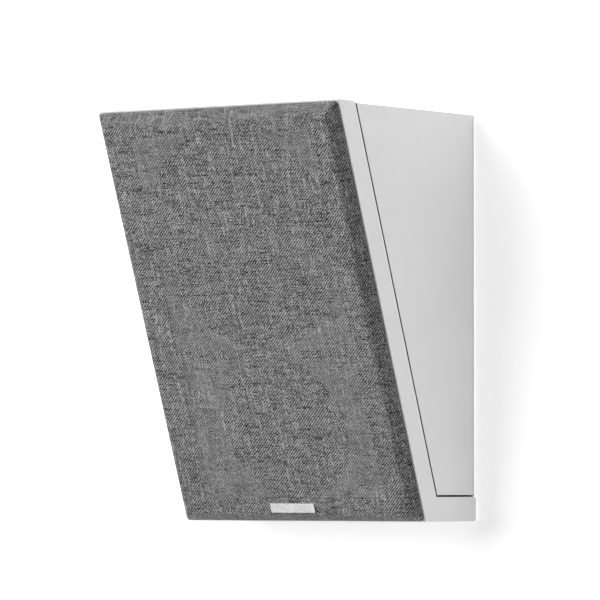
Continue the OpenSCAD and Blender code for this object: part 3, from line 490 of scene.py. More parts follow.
def finish(slot, effect, dark, light, rough, relief, metallic=0, dust=0.0, turn=(0, 0, 0), at=(0, 0, 0),
           scale=1, uv=None, effect_values=(), **shader):
    """A Principled material for one slot of the record."""
    material, tree, output = blank_material(slot + "_finish")
    if uv:
        place = node(tree, "UVMap", uv_map=uv).outputs[0]
    else:
        place = node(tree, "TexCoord").outputs["Object"]
        place = node(tree, "Mapping", {"Vector": place, "Location": at, "Rotation": turn,
                                       "Scale": (1 / scale,) * 3}, vector_type="TEXTURE").outputs[0]
    pattern = tree.nodes.new("ShaderNodeGroup")
    pattern.node_tree = effect
    tree.links.new(place, pattern.inputs["Vector"])
    for key, value in dict(effect_values).items():
        pattern.inputs[key].default_value = value
    tone, height = pattern.outputs["Tone"], pattern.outputs["Height"]
    colour = node(tree, "Mix", {0: tone, 6: dark, 7: light}, data_type="RGBA").outputs[2]
    roughness = ramped(tree, tone, 0, 1, rough[0], rough[1])
    if dust:
        settled = tree.nodes.new("ShaderNodeGroup")
        settled.node_tree = settled_dust
        settled.inputs["Amount"].default_value = dust
        colour = node(tree, "Mix", {0: settled.outputs[0], 6: colour, 7: (0.42, 0.40, 0.37, 1)},
                      data_type="RGBA").outputs[2]
        roughness = mixed(tree, settled.outputs[0], roughness, 0.9)
    bump = node(tree, "Bump", {"Height": height, "Distance": relief, "Strength": 1.0})
    surface = node(tree, "BsdfPrincipled", {
        "Base Color": colour, "Roughness": roughness, "Metallic": metallic,
        "Normal": bump.outputs[0], **shader})
    tree.links.new(surface.outputs[0], output.inputs["Surface"])
    material.diffuse_color = light
    finishes[slot] = material
    print("finish", slot, "from", effect.name)
    return tree, surface, pattern


lean = math.atan2(up_face.z, up_face.y)
face_turn = (lean, 0, 0)

# %% [markdown]
# ### Painted white pieces
# The shell and the cabinet are sprayed satin white, and the steel back plate is powder coated.
# They are off-white: a colour near 1 would leave no room for the light to show the edges. The
# faces that meet in the shadow gap are painted black: partly a dark joint, and partly painted
# shade that stands in for the deep shadow in the narrow gap, so that it reads as a dark line.

# %% White paints
finish("shell_paint", sprayed_paint, grey(0.835), grey(0.86), (0.36, 0.46), 0.000012, dust=0.10)
# Black paint for the faces inside the joint: partly a dark joint, partly painted shade for the deep, narrow gap.
finish("joint_black_and_shade", sprayed_paint, grey(0.008), grey(0.014), (0.7, 0.8), 0.00001)
finish("plate_paint", sprayed_paint, grey(0.76), grey(0.80), (0.45, 0.58), 0.00003, dust=0.08, scale=1.4)

# %% [markdown]
# ### Boards, battens and soft seals
# Inside are pressed board, pine battens, foam seals, rubber pads and loose wadding.

# %% Boards, foam, rubber and wadding
finish("panel_mdf", pressed_fibre, (0.20, 0.125, 0.065, 1), (0.42, 0.29, 0.17, 1), (0.75, 0.9), 0.00004,
       dust=0.3)
finish("batten_pine", pine_grain, (0.36, 0.20, 0.085, 1), (0.66, 0.46, 0.25, 1), (0.55, 0.75), 0.00005)
finish("foam_seal", foam_cells, grey(0.006), grey(0.028), (0.85, 0.98), 0.00025, **{"Sheen Weight": 0.15})
finish("pad_rubber", moulded_grain, grey(0.012), grey(0.032), (0.6, 0.8), 0.00004)
finish("wadding_wool", loose_fibres, grey(0.34, (1, 0.98, 0.94)), grey(0.74, (1, 0.99, 0.96)), (0.9, 1.0),
       0.0012, **{"Sheen Weight": 0.4, "Sheen Roughness": 0.5})

# %% [markdown]
# ### Metals
# Zinc-plated, blackened and nickel-plated steel, brass, a satin bar and the grey ceramic magnets.

# %% Metals and magnets
finish("zinc_steel", drawn_metal, (0.34, 0.34, 0.335, 1), (0.62, 0.62, 0.60, 1), (0.28, 0.46), 0.000008,
       metallic=1)
finish("black_steel", drawn_metal, grey(0.018), grey(0.05), (0.32, 0.5), 0.000008, metallic=0.6)
finish("magnet_nickel", drawn_metal, (0.48, 0.46, 0.43, 1), (0.70, 0.68, 0.64, 1), (0.12, 0.25), 0.000004,
       metallic=1)
finish("terminal_brass", drawn_metal, (0.42, 0.28, 0.10, 1), (0.82, 0.60, 0.27, 1), (0.18, 0.36), 0.000006,
       metallic=1)
finish("satin_bar", drawn_metal, (0.30, 0.30, 0.31, 1), (0.52, 0.52, 0.53, 1), (0.34, 0.46), 0.00001,
       metallic=1, turn=face_turn)
finish("ferrite", cast_skin, grey(0.022), grey(0.06), (0.42, 0.7), 0.00012, dust=0.2)

# %% [markdown]
# ### Moulded plastics, laminate and ceramic
# The same grain at different gloss gives the drivers' basket and faceplate, the terminal cup, the
# knobs, the grille's frame, the nylon standoffs, the board and the insulation of the leads.

# %% Plastics, laminate and ceramic
finish("grille_plastic", moulded_grain, grey(0.010), grey(0.022), (0.5, 0.66), 0.00003)
finish("basket_paint", cast_skin, grey(0.012), grey(0.028), (0.36, 0.52), 0.00003, scale=0.6)
finish("faceplate_plastic", moulded_grain, grey(0.011), grey(0.02), (0.34, 0.46), 0.000022)
finish("cup_plastic", moulded_grain, grey(0.010), grey(0.021), (0.42, 0.58), 0.00003, dust=0.12)
finish("knob_red", moulded_grain, (0.36, 0.008, 0.008, 1), (0.55, 0.018, 0.016, 1), (0.22, 0.34), 0.000008,
       **{"Coat Weight": 0.2})
finish("knob_black", moulded_grain, grey(0.009), grey(0.02), (0.22, 0.34), 0.000008, **{"Coat Weight": 0.2})
finish("nylon", moulded_grain, grey(0.52, (1, 0.98, 0.92)), grey(0.68, (1, 0.99, 0.95)), (0.4, 0.55),
       0.00001, **{"Subsurface Weight": 0.1, "Subsurface Radius": (0.002, 0.002, 0.0015)})
finish("lead_pvc", moulded_grain, grey(0.014), grey(0.03), (0.35, 0.5), 0.00001)
finish("lead_red", moulded_grain, (0.30, 0.012, 0.010, 1), (0.45, 0.024, 0.018, 1), (0.35, 0.5), 0.00001)
finish("board_laminate", pressed_fibre, (0.012, 0.07, 0.03, 1), (0.03, 0.15, 0.07, 1), (0.22, 0.36), 0.00001)
finish("resistor_ceramic", cast_skin, grey(0.56, (1, 0.98, 0.93)), grey(0.74, (1, 0.99, 0.95)), (0.7, 0.9),
       0.00006)
finish("capacitor_film", moulded_grain, (0.46, 0.28, 0.03, 1), (0.64, 0.42, 0.06, 1), (0.16, 0.28), 0.000015,
       **{"Coat Weight": 0.4})

# %% [markdown]
# ### Paper, film, rubber, silk and copper wire
# The moving parts: a pressed paper cone, a rubber surround, a woven silk dome, a resin-stiff
# cloth spider and a film former wound with copper.

# %% The drivers' moving parts
finish("cone_paper", pressed_fibre, grey(0.014), grey(0.042), (0.7, 0.88), 0.00008, scale=1.2, dust=0.1,
       **{"Sheen Weight": 0.1})
finish("soft_rubber", moulded_grain, grey(0.011), grey(0.02), (0.42, 0.56), 0.000015, dust=0.08, scale=1.5)
finish("former_film", drawn_metal, (0.30, 0.16, 0.04, 1), (0.52, 0.31, 0.10, 1), (0.2, 0.35), 0.000004,
       turn=face_turn)
finish("dome_silk", plain_weave, grey(0.010), grey(0.05), (0.5, 0.75), 0.00003, turn=face_turn,
       at=at_tweeter.translation, effect_values={"Pitch": 0.00028, "Cover": 0.0, "Heather": 0.5},
       **{"Sheen Weight": 0.25, "Sheen Roughness": 0.4, "Coat Weight": 0.15, "Coat Roughness": 0.35})
finish("spider_cloth", plain_weave, (0.22, 0.12, 0.04, 1), (0.72, 0.50, 0.25, 1), (0.55, 0.75), 0.00012,
       turn=face_turn, at=at_woofer.translation,
       effect_values={"Pitch": 0.0006, "Cover": 0.0, "Heather": 0.4})
# The dark colour goes into the grooves between the turns as painted shade.
finish("copper_wire", wire_turns, (0.20, 0.055, 0.02, 1), (0.86, 0.42, 0.24, 1), (0.22, 0.38), 0.00012,
       metallic=1, turn=face_turn, effect_values={"Pitch": 0.0004})

# %% [markdown]
# ### Grille cloth
# A grey heather twill of coarse threads. Its holes let a little of the drivers show through, so
# the Gap output goes into Alpha. It reads its own UV map, which holds the cloth as it was cut.

# %% Grille cloth
tree, surface, pattern = finish(
    "grille_cloth", twill, grey(0.006), grey(0.90), (0.7, 0.85), 0.0002, uv="threads",
    effect_values={"Pitch": 0.00066, "Cover": 0.5, "Heather": 2.3, "Run": 9, "Two Tone": 0.9,
                   "Fleck": 0.8, "Level": 0.4},
    **{"Sheen Weight": 0.12, "Sheen Roughness": 0.4, "Specular IOR Level": 0.15})
tree.links.new(calc(tree, "SUBTRACT", 1, pattern.outputs["Gap"]), surface.inputs["Alpha"])
print(len(finishes), "finishes")

# %% [markdown]
# ## Carried-over pieces take their finish
# Every CAD node came in with a plain material named after its slot. Its object's material slot
# now holds the finish of that name, so screws, plates, magnets and the rest are dressed at once.

# %% Dress the CAD nodes
for name, piece in frame["nodes"].items():
    own_slot = next(s["material_slot"] for s in frame["record"]["subparts"] if s["node"] == name)
    for material_slot in piece.material_slots:
        material_slot.material = finishes[own_slot]
print(len(frame["nodes"]), "CAD nodes dressed")

# %% [markdown]
# ## Tools for new pieces
# Some pieces start as a merged copy of a CAD solid, whose edges are then rounded, because a real
# edge always catches a line of light. Others are turned from a profile like work on a lathe. Both
# end the same way: normals outward, smooth shading that breaks at sharp corners, a finish, and a
# body to ride on.

# %% Merge, round, turn and finish
def cad_copy(*names, whole=True):
    """A merged copy of CAD solids, with their flat faces made whole again if asked."""
    bm = bmesh.new()
    for name in names:
        bm.from_mesh(frame["nodes"][name].data)
    bmesh.ops.remove_doubles(bm, verts=bm.verts, dist=3e-6)
    if whole:
        flatten(bm)
    return bm


def flatten(bm, angle=0.4):
    """Joins neighbouring faces that lie in one plane."""
    bmesh.ops.dissolve_limit(bm, angle_limit=math.radians(angle), verts=bm.verts, edges=bm.edges,
                             use_dissolve_boundaries=False)


def corner_edges(bm, wanted, angle=30):
    """Edges sharper than the angle, convex, whose two ends both pass the test."""
    return [e for e in bm.edges if len(e.link_faces) == 2 and e.is_convex
            and e.calc_face_angle(0) > math.radians(angle) and all(wanted(v.co) for v in e.verts)]


def slice_across(bm, place, way):
    """Cuts the faces that a plane meets, and keeps both sides."""
    everything = bm.verts[:] + bm.edges[:] + bm.faces[:]
    bmesh.ops.bisect_plane(bm, geom=everything, dist=1e-6, plane_co=place, plane_no=way)


def round_edges(bm, edges, radius, segments=3):
    """Rounds edges over, and gives the new faces the material of their neighbours."""
    bmesh.ops.bevel(bm, geom=edges, offset=radius, offset_type="OFFSET", segments=segments, profile=0.5,
                    affect="EDGES", material=-1, clamp_overlap=True, loop_slide=True)


def turned(profile, closed=True, steps=96, start=0.0, sweep=2 * math.pi):
    """Spins (radius, height) points about Z. A closed profile goes round a wall's whole section."""
    bm = bmesh.new()
    verts = [bm.verts.new((r * math.cos(start), r * math.sin(start), h)) for r, h in profile]
    pairs = list(zip(verts, verts[1:])) + ([(verts[-1], verts[0])] if closed else [])
    edges = [bm.edges.new(pair) for pair in pairs]
    full = abs(sweep - 2 * math.pi) < 1e-6
    bmesh.ops.spin(bm, geom=verts + edges, cent=(0, 0, 0), axis=(0, 0, 1), angle=sweep, steps=steps,
                   use_merge=full, use_duplicate=False)
    bmesh.ops.remove_doubles(bm, verts=bm.verts, dist=1e-7)
    bmesh.ops.recalc_face_normals(bm, faces=bm.faces)
    return bm


def rounded_line(points, radius, steps=4):
    """A line of (radius, height) points with its inner corners rounded."""
    flat = [Vector(p) for p in points]
    result = [flat[0]]
    for before, corner, after in zip(flat, flat[1:], flat[2:]):
        back, ahead = before - corner, after - corner
        cut = min(radius, back.length * 0.45, ahead.length * 0.45)
        first, last = corner + back.normalized() * cut, corner + ahead.normalized() * cut
        for i in range(steps + 1):
            t = i / steps
            result.append(first.lerp(corner, t).lerp(corner.lerp(last, t), t))
    return [tuple(p) for p in result + [flat[-1]]]


def finish_piece(bm, name, slot, body, replaces=(), place=None, sharp=38, even_shading=False, paint=None):
    """Turns a bmesh into a finished piece in its place, riding on its body."""
    if place is not None:
        bm.transform(place)
    bm.normal_update()
    for face in bm.faces:
        face.smooth = True
    for edge in bm.edges:
        edge.smooth = len(edge.link_faces) == 2 and edge.calc_face_angle(0) < math.radians(sharp)
    mesh = bpy.data.meshes.new(name)
    bm.to_mesh(mesh)
    bm.free()
    mesh.materials.append(finishes[paint or slot])
    piece = bpy.data.objects.new(name, mesh)
    scene.collection.objects.link(piece)
    if even_shading:
        weighted = piece.modifiers.new("even_shading", "WEIGHTED_NORMAL")
        weighted.keep_sharp = True
    if body:
        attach(piece, body)
    if replaces:
        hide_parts(*replaces)
    print(name, len(mesh.polygons), "faces")
    return piece


# %% [markdown]
# ## The white shell and cabinet
# The shell is a baffle board with a base board glued behind it, sanded and painted as one. Both
# CAD solids are merged, the faces inside the glue joint are taken out, and the outer edges are
# rounded: wide at the rear edges beside the shadow gap, narrow elsewhere. A cut just above the
# inner corner keeps the wide rounding even down to it.

# %% Places on the shell
base_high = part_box("shell_base")[1]
cabinet_low, cabinet_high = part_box("cabinet_wrap")
baffle_back = span("front_shell", on_face)[0].z
flat = on_face.inverted()


def on_side(co):
    """On the left or the right side of the shell."""
    return abs(abs(co.x) - shell_high.x) < CLOSE


def at_top(co):
    """On the shell's top."""
    return abs(co.z - shell_high.z) < CLOSE


def at_back(co):
    """On the back of the baffle, the face that leans over the cabinet."""
    return abs((flat @ co).z - baffle_back) < 2 * CLOSE


print("baffle is", round(-baffle_back * 1000, 2), "mm thick")

# %% [markdown]
# ### Sewing the glue joint
# The two solids only touch along the joint. A cut through the baffle level with the top of the
# base, and a merge, give both the same corners there. The glued faces go. Where one side of the
# open seam has a corner that the other lacks, the other's edge is split, so that the last merge
# closes the seam. No open edge may be left.

# %% Sew the shell together
shell = cad_copy("front_shell", "shell_base")
slice_across(shell, (0, 0, base_high.z), (0, 0, 1))
bmesh.ops.remove_doubles(shell, verts=shell.verts, dist=3e-6)
baffle_foot_y = min(v.co.y for v in shell.verts if abs(v.co.z - base_high.z) < 1e-6 and at_back(v.co))
glued = [f for f in shell.faces if all(at_back(v.co) and v.co.z < base_high.z + 2e-5 for v in f.verts)]
bmesh.ops.delete(shell, geom=glued, context="FACES")


def at_foot(vert):
    """On the line where the back of the baffle meets the top of the base."""
    return abs(vert.co.z - base_high.z) < 2e-6 and abs(vert.co.y - baffle_foot_y) < 2e-5


for vert in [v for v in shell.verts if at_foot(v)]:
    open_edges = [e for e in shell.edges if e.is_boundary and all(map(at_foot, e.verts))]
    for edge in [e for e in open_edges if vert not in e.verts]:
        start, end = edge.verts
        share = (vert.co.x - start.co.x) / (end.co.x - start.co.x)
        if 1e-4 < share < 1 - 1e-4:
            bmesh.utils.edge_split(edge, start, share)
bmesh.ops.remove_doubles(shell, verts=shell.verts, dist=3e-6)
flatten(shell)
print("glue faces removed:", len(glued), "open edges:", sum(not e.is_manifold for e in shell.edges))

# %% [markdown]
# ### Rounding the shell
# Boards are sanded over before they are painted. bevel wants a list of edges, so each set is
# found by where its ends lie: the rear edges beside the joint, the base's edges at the wall,
# which are the heel, and then everything else that faces outwards.

# %% Round the shell's edges
corner = on_face @ Vector((0, (flat @ Vector((0, baffle_foot_y, base_high.z))).y + 0.0008, 0))
slice_across(shell, corner, up_face)
rear_r, edge_r = 0.0026, 0.0009
rear = corner_edges(shell, lambda co: at_back(co) and (on_side(co) or at_top(co)))
round_edges(shell, rear, rear_r, 6)
heel = corner_edges(shell, lambda co: abs(co.y) < CLOSE and (co.z < shell_low.z + CLOSE
                                                           or abs(co.z - base_high.z) < CLOSE))
round_edges(shell, [e for e in heel if abs(e.verts[0].co.x - e.verts[1].co.x) > 1e-4], rear_r, 6)
outer = corner_edges(shell, lambda co: (on_side(co) or at_top(co) or co.z < shell_low.z + CLOSE
                                        or abs(co.y) < CLOSE))
round_edges(shell, outer, edge_r, 3)
print("rear edges:", len(rear), "heel edges:", len(heel), "outer edges:", len(outer))

# %% [markdown]
# ### Black paint inside the joint, partly painted shade
# Three cuts mark off what the cabinet covers, and the faces that lie inside them take the second
# material: black, partly painted shade for the deep gap. A mesh keeps its materials in a list, and
# each face holds a number into that list.

# %% Paint the joint and finish the shell
margin = 0.0003
for way, at in (((1, 0, 0), cabinet_high.x - margin), ((1, 0, 0), margin - cabinet_high.x),
                ((0, 0, 1), cabinet_high.z - margin)):
    slice_across(shell, Vector(way) * at, way)
shell.normal_update()
hidden = [f for f in shell.faces if abs(f.calc_center_median().x) < cabinet_high.x - margin
          and f.calc_center_median().z < cabinet_high.z - margin
          and (all(at_back(v.co) for v in f.verts)
               or all(abs(v.co.z - base_high.z) < 2e-5 for v in f.verts))]
print("faces of the shell inside the joint:", len(hidden))
# These faces are painted black: partly a dark joint, partly painted shade for the gap.
for face in hidden:
    face.material_index = 1
white_shell = finish_piece(shell, "white_shell", "shell_paint", "cabinet", ["front_shell", "shell_base"],
                           even_shading=True)
white_shell.data.materials.append(finishes["joint_black_and_shade"])

# %% [markdown]
# ### The cabinet
# The cabinet is a sleeve whose front rim is cut to the lean of the shell, so a merged copy of its
# CAD solid keeps that cut. The rim and the foot are drawn back by a hair: two painted boards never
# close up quite, and the gap between them throws a dark line. Its outer edges are only just broken.

# %% Cabinet
draw_back = 0.0003
cabinet = cad_copy("cabinet_wrap")
rim_n = max((flat @ v.co).z for v in cabinet.verts)
for vert in cabinet.verts:
    on_rim = (flat @ vert.co).z > rim_n - CLOSE
    if vert.co.z < cabinet_low.z + CLOSE:
        vert.co += Vector((0, -draw_back * out.z / out.y if on_rim else 0, draw_back))
    if on_rim:
        vert.co.y -= draw_back / out.y
outer = corner_edges(cabinet, lambda co: (abs(abs(co.x) - cabinet_high.x) < CLOSE
                                          or co.z > cabinet_high.z - CLOSE))
round_edges(cabinet, outer, 0.0004, 3)
rim_n = max((flat @ v.co).z for v in cabinet.verts)
cabinet_rim = [f for f in cabinet.faces if all((flat @ v.co).z > rim_n - 0.0005 for v in f.verts)]
print("faces of the cabinet's joint:", len(cabinet_rim))
# The rim's faces, with its rounded outer edge, are painted black: partly a dark joint, partly painted shade for
# the gap.
for face in cabinet_rim:
    face.material_index = 1
sleeve = finish_piece(cabinet, "cabinet_sleeve", "shell_paint", "cabinet", ["cabinet_wrap"],
                      even_shading=True)
sleeve.data.materials.append(finishes["joint_black_and_shade"])

# %% [markdown]
# ## The grille cloth
# The cloth is one piece, stretched over a frame with sloping edges and glued behind it. It starts
# as a flat rectangle. Its edges are extruded down the slope, down the short straight edge and in
# under the frame, and the folds are rounded. Then it is cut into small squares, so that it can
# wave a little, and gets its thickness. The thread pattern needs to know where each point lay
# before the cloth was stretched, so the UV map holds unfolded lengths in metres: along the face,
# then on over the fold.

# %% Sizes of the cloth
cloth_low, cloth_high = span("grille_cloth", on_face)
frame_low, frame_high = span("grille_frame", on_face)
cloth_wall = 0.0001
skin = cloth_wall / 2
middle_s = (cloth_low.y + cloth_high.y) / 2
half_x, half_s = cloth_high.x - skin, (cloth_high.y - cloth_low.y) / 2 - skin
front_n, back_n = cloth_high.z - skin, cloth_low.z + skin
slope_in = 0.0055
land_n = cloth_low.z + 0.0014
hem = 0.007
rings = [(-slope_in, front_n), (0, land_n), (0, back_n), (-hem, back_n)]
unfolded = [0]
for (step_a, n_a), (step_b, n_b) in zip(rings, rings[1:]):
    unfolded.append(unfolded[-1] + math.hypot(step_b - step_a, n_b - n_a))


def unfold(reach, half, n):
    """How far from the cloth's middle a point lay when the cloth was flat."""
    best = None
    line = [(-slope_in - 0.02, front_n)] + rings
    for (step_a, n_a), (step_b, n_b), begun in zip(line, line[1:], [-0.02] + unfolded):
        run, drop = step_b - step_a, n_b - n_a
        share = ((reach - half - step_a) * run + (n - n_a) * drop) / (run ** 2 + drop ** 2)
        share = min(max(share, 0), 1)
        off = math.hypot(reach - half - step_a - share * run, n - n_a - share * drop)
        if best is None or off < best[0] - 1e-9:
            best = (off, half - slope_in + begun + share * math.hypot(run, drop))
    return best[1]


# %% Fold the cloth
cloth = bmesh.new()
bmesh.ops.create_grid(cloth, x_segments=1, y_segments=1, size=1)
for v in cloth.verts:
    v.co = (v.co.x * (half_x - slope_in), v.co.y * (half_s - slope_in), front_n)
rim = [e for e in cloth.edges if e.is_boundary]
for step, n in rings[1:]:
    grown = bmesh.ops.extrude_edge_only(cloth, edges=rim)["geom"]
    for v in (g for g in grown if isinstance(g, bmesh.types.BMVert)):
        v.co = (math.copysign(half_x + step, v.co.x), math.copysign(half_s + step, v.co.y), n)
    rim = [e for e in grown if isinstance(e, bmesh.types.BMEdge) and e.is_boundary]
bmesh.ops.recalc_face_normals(cloth, faces=cloth.faces)
if max(cloth.faces, key=lambda f: f.calc_area()).normal.z < 0:
    bmesh.ops.reverse_faces(cloth, faces=cloth.faces)
folds = [e for e in cloth.edges if len(e.link_faces) == 2 and e.calc_face_angle(0) > math.radians(15)
         and max(v.co.z for v in e.verts) > back_n + CLOSE]
lower = [e for e in folds if abs(sum(v.co.z for v in e.verts) / 2 - land_n) < 1e-6]
round_edges(cloth, [e for e in folds if e not in lower], 0.0019, 5)
print("folds rounded:", len(folds) - len(lower), "left crisp:", len(lower))

# %% Cut the cloth into squares
square = 0.0022             # the cloth is cut into squares of about this size
for normal, half in (((1, 0, 0), half_x), ((0, 1, 0), half_s)):
    count = round(half / square)
    for i in range(-count, count + 1):
        slice_across(cloth, Vector(normal) * (i * half / count * 0.985), normal)
print("cloth has", len(cloth.faces), "faces before its thickness")

# %% [markdown]
# Each corner of a face keeps its own UV place. A side strip is unfolded across one direction
# only, and the sign of the place says which side of the middle it lies on.

# %% Map the threads
threads = cloth.loops.layers.uv.new("threads")
for face in cloth.faces:
    for loop in face.loops:
        co = loop.vert.co
        u, v = abs(co.x), abs(co.y)
        glued_under = face.normal.z < -0.9
        if abs(face.normal.x) > max(abs(face.normal.y), 1e-3) or (glued_under and half_x - u < half_s - v):
            u = unfold(u, half_x, co.z)
        elif abs(face.normal.y) > 1e-3 or glued_under:
            v = unfold(v, half_s, co.z)
        loop[threads].uv = (math.copysign(u, co.x), math.copysign(v, co.y))
print("threads mapped on", len(cloth.faces), "faces")

# %% [markdown]
# Stretched cloth is never quite even.

# %% Wave, thickness and hold
wave = 0.00006
for vert in cloth.verts:
    upright = noise.noise(Vector((vert.co.x * 90, vert.co.y * 16, 3)))
    level = noise.noise(Vector((vert.co.x * 16, vert.co.y * 90, 8)))
    vert.co -= vert.normal * (wave + wave * (upright + level))
bmesh.ops.translate(cloth, verts=cloth.verts, vec=(0, middle_s, 0))
cloth_piece = finish_piece(cloth, "front_cloth", "grille_cloth", "grille", ["grille_cloth"], on_face,
                           sharp=60)
thickness = cloth_piece.modifiers.new("cloth_thickness", "SOLIDIFY")
thickness.thickness = cloth_wall
thickness.offset = 0

# %% [markdown]
# ## The name bar
# A thin blank bar of satin metal sits on the cloth near the bottom edge. Its CAD solid is copied
# with its two pins, and its face gets a fine bevel that draws a bright line round it.

# %% Name bar
bar = cad_copy("name_bar")
bar_front = span("name_bar", on_face)[1].z
edges = corner_edges(bar, lambda co: (flat @ co).z > bar_front - 0.0011)
round_edges(bar, [e for e in edges if e.calc_length() > 0.0009], 0.00025, 3)
finish_piece(bar, "blank_name_bar", "satin_bar", "grille", ["name_bar"], even_shading=True)

# %% [markdown]
# ## The woofer
# Basket and flange are one black casting. Its CAD solid has the right section, so a merged copy
# only gets the rounded rims that a cast part has. The cone, its cap and the rubber roll are
# turned from their sections: the parts that move need smooth, even skins.

# %% Woofer basket
def from_axis(place, co):
    """Distance from the driver's axis, and height along it."""
    local = place.inverted() @ co
    return math.hypot(local.x, local.y), local.z


def rims(bm, place, low_r, high_r, low_n, high_n):
    """Sharp convex edges that run round the axis between two radii and two heights."""
    def wanted(co):
        """Between the two radii and the two heights."""
        r, n = from_axis(place, co)
        return low_r < r < high_r and low_n < n < high_n
    return [e for e in corner_edges(bm, wanted, 25)
            if abs(from_axis(place, e.verts[0].co)[0] - from_axis(place, e.verts[1].co)[0]) < 2e-5]


basket = cad_copy("woofer_basket", whole=False)
flange_r = span("woofer_basket", at_woofer)[1].x
for low_r, high_r, rounding, segments in ((flange_r - 0.0001, flange_r + 0.0001, 0.0008, 4),
                                          (0.0615, 0.0633, 0.0004, 3)):
    rim = rims(basket, at_woofer, low_r, high_r, -0.0001, 0.0001)
    round_edges(basket, rim, rounding, segments)
finish_piece(basket, "cast_basket", "basket_paint", "cabinet", ["woofer_basket"], even_shading=True)

# %% Woofer cone and cap
cone_r, cone_rim_n = span("woofer_cone", at_woofer)[1].x, span("woofer_cone", at_woofer)[1].z
neck_r = span("woofer_former", at_woofer)[1].x + 0.0001
rim_w, neck_n, paper = 0.0032, -0.0200, 0.0008
flare = 0.86


def cone_front(r):
    """Height of the cone's front at a radius: it flares out from the neck to a flat rim."""
    share = (r - neck_r) / (cone_r - rim_w - neck_r)
    rib = sum(0.00022 * math.exp(-((r - at) / 0.0007) ** 2) for at in (0.0265, 0.0315, 0.0365))
    return neck_n + (cone_rim_n - neck_n) * max(share, 0) ** flare + (rib if r > 0.0255 else 0)


radii = [neck_r + (cone_r - rim_w - neck_r) * i / 56 for i in range(57)]
front_line = [(r, cone_front(r)) for r in radii]
back_line = [(r, cone_front(r) - paper) for r in radii]
cone = turned(front_line + [(cone_r, cone_rim_n), (cone_r, cone_rim_n - paper)] + back_line[::-1])
finish_piece(cone, "paper_cone", "cone_paper", "woofer_mover", ["woofer_cone"], at_woofer)


def dome(r, rise, wall, base, skirt, rings=18):
    """A thin spherical cap with a short upright skirt, as a closed shell."""
    ball = (r * r + rise * rise) / (2 * rise)
    centre = base + rise - ball

    def cap_line(ball_r, rim_r):
        """The section of one skin of the cap, from its pole to its rim."""
        angles = [math.asin(rim_r / ball_r) * i / rings for i in range(rings + 1)]
        return [(ball_r * math.sin(a), centre + ball_r * math.cos(a)) for a in angles]

    outer, inner = cap_line(ball, r), cap_line(ball - wall, r - wall)
    return turned(outer + [(r, base - skirt), (r - wall, base - skirt)] + inner[::-1], closed=False)


cap_r = span("woofer_dust_cap", at_woofer)[1].x
cap_top = span("woofer_dust_cap", at_woofer)[1].z
cap = dome(cap_r, 0.006, 0.0006, cap_top - 0.006, 0.0004)
finish_piece(cap, "dust_cap", "cone_paper", "woofer_mover", ["woofer_dust_cap"], at_woofer, sharp=50)

# %% [markdown]
# ### Soft rings in sectors
# The rubber roll is glued to the basket outside and to the cone inside, and the spider does the
# same lower down. When the cone moves, each ring has to stretch between the two. Each ring is
# turned in equal sectors.

# %% Rings in sectors
def soft_ring(name, slot, node_name, profile, place, sectors=16):
    """Turns a ring in sectors."""
    sweep = 2 * math.pi / sectors
    for i in range(sectors):
        bm = turned(profile, steps=96 // sectors, start=i * sweep, sweep=sweep)
        piece = finish_piece(bm, f"{name}_{i + 1:02d}", slot, None, [node_name], place, sharp=60)
        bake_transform(piece)


def arc(centre, r, first, last, steps):
    """Points of an arc, in degrees."""
    angles = [math.radians(first + (last - first) * i / steps) for i in range(steps + 1)]
    return [(centre[0] + r * math.cos(a), centre[1] + r * math.sin(a)) for a in angles]


# %% [markdown]
# The roll is half a circle of thin rubber with a flat rim on each side. Its section is drawn once
# round: out along the underside, round the rim on the seat, and back over the front.

# %% Rubber roll
seat_r, seat_n = span("woofer_surround", at_woofer)[1].x, -0.0020
skin = 0.0004
roll_r, roll_at = 0.0050, cone_r - 0.0002 + 0.0050
roll = [(cone_r - rim_w, cone_rim_n), (roll_at - roll_r + 2 * skin, cone_rim_n)]
roll += arc((roll_at, seat_n + skin), roll_r - skin, 180, 0, 20)
roll += [(roll_at + roll_r - skin, seat_n), (seat_r, seat_n), (seat_r, seat_n + 2 * skin),
         (roll_at + roll_r + skin, seat_n + 2 * skin)]
roll += arc((roll_at, seat_n + skin), roll_r + skin, 10, 170, 24)
roll += [(cone_r - rim_w, cone_rim_n + 2 * skin)]
soft_ring("rubber_roll", "soft_rubber", "woofer_surround", roll, at_woofer)

# %% [markdown]
# The spider is cloth pressed into waves, so that it gives along the stroke and holds the coil in
# the middle. Its section is a sine wave between two flat rims, drawn once for each side.

# %% Spider
spider_low, spider_high = span("woofer_spider", at_woofer)
spider_mid = (spider_low.z + spider_high.z) / 2
spider_in, spider_out = neck_r, spider_high.x
waves, steps = 4, 64


def spider_line(lift):
    """A line of waves between two flat rims."""
    first, last = spider_in + 0.002, spider_out - 0.0037
    line = [(spider_in, spider_mid + lift)]
    for i in range(steps + 1):
        wave = 0.0009 * math.sin(2 * math.pi * waves * i / steps)
        line.append((first + (last - first) * i / steps, spider_mid + lift + wave))
    return line + [(spider_out, spider_mid + lift)]


soft_ring("spider", "spider_cloth", "woofer_spider", spider_line(skin) + spider_line(-skin)[::-1], at_woofer)

# %% [markdown]
# ## The tweeter
# A moulded plate dips into a short horn, and a silk dome sits in its throat on a small roll of
# the same silk. The plate is a merged copy with a rounded rim. The dome and the roll are turned.

# %% Tweeter plate
plate = cad_copy("tweeter_faceplate")
plate_r = span("tweeter_faceplate", at_tweeter)[1].x
round_edges(plate, rims(plate, at_tweeter, plate_r - 0.0001, plate_r + 0.0001, -0.0001, 0.0001), 0.0007, 4)
finish_piece(plate, "horn_plate", "faceplate_plastic", "cabinet", ["tweeter_faceplate"], even_shading=True)

# %% Silk dome and its roll
dome_r, dome_top = span("tweeter_dome", at_tweeter)[1].x, span("tweeter_dome", at_tweeter)[1].z
silk = dome(dome_r, 0.0055, 0.0004, dome_top - 0.0055, 0.001, 24)
finish_piece(silk, "silk_dome", "dome_silk", "tweeter_mover", ["tweeter_dome"], at_tweeter, sharp=50)

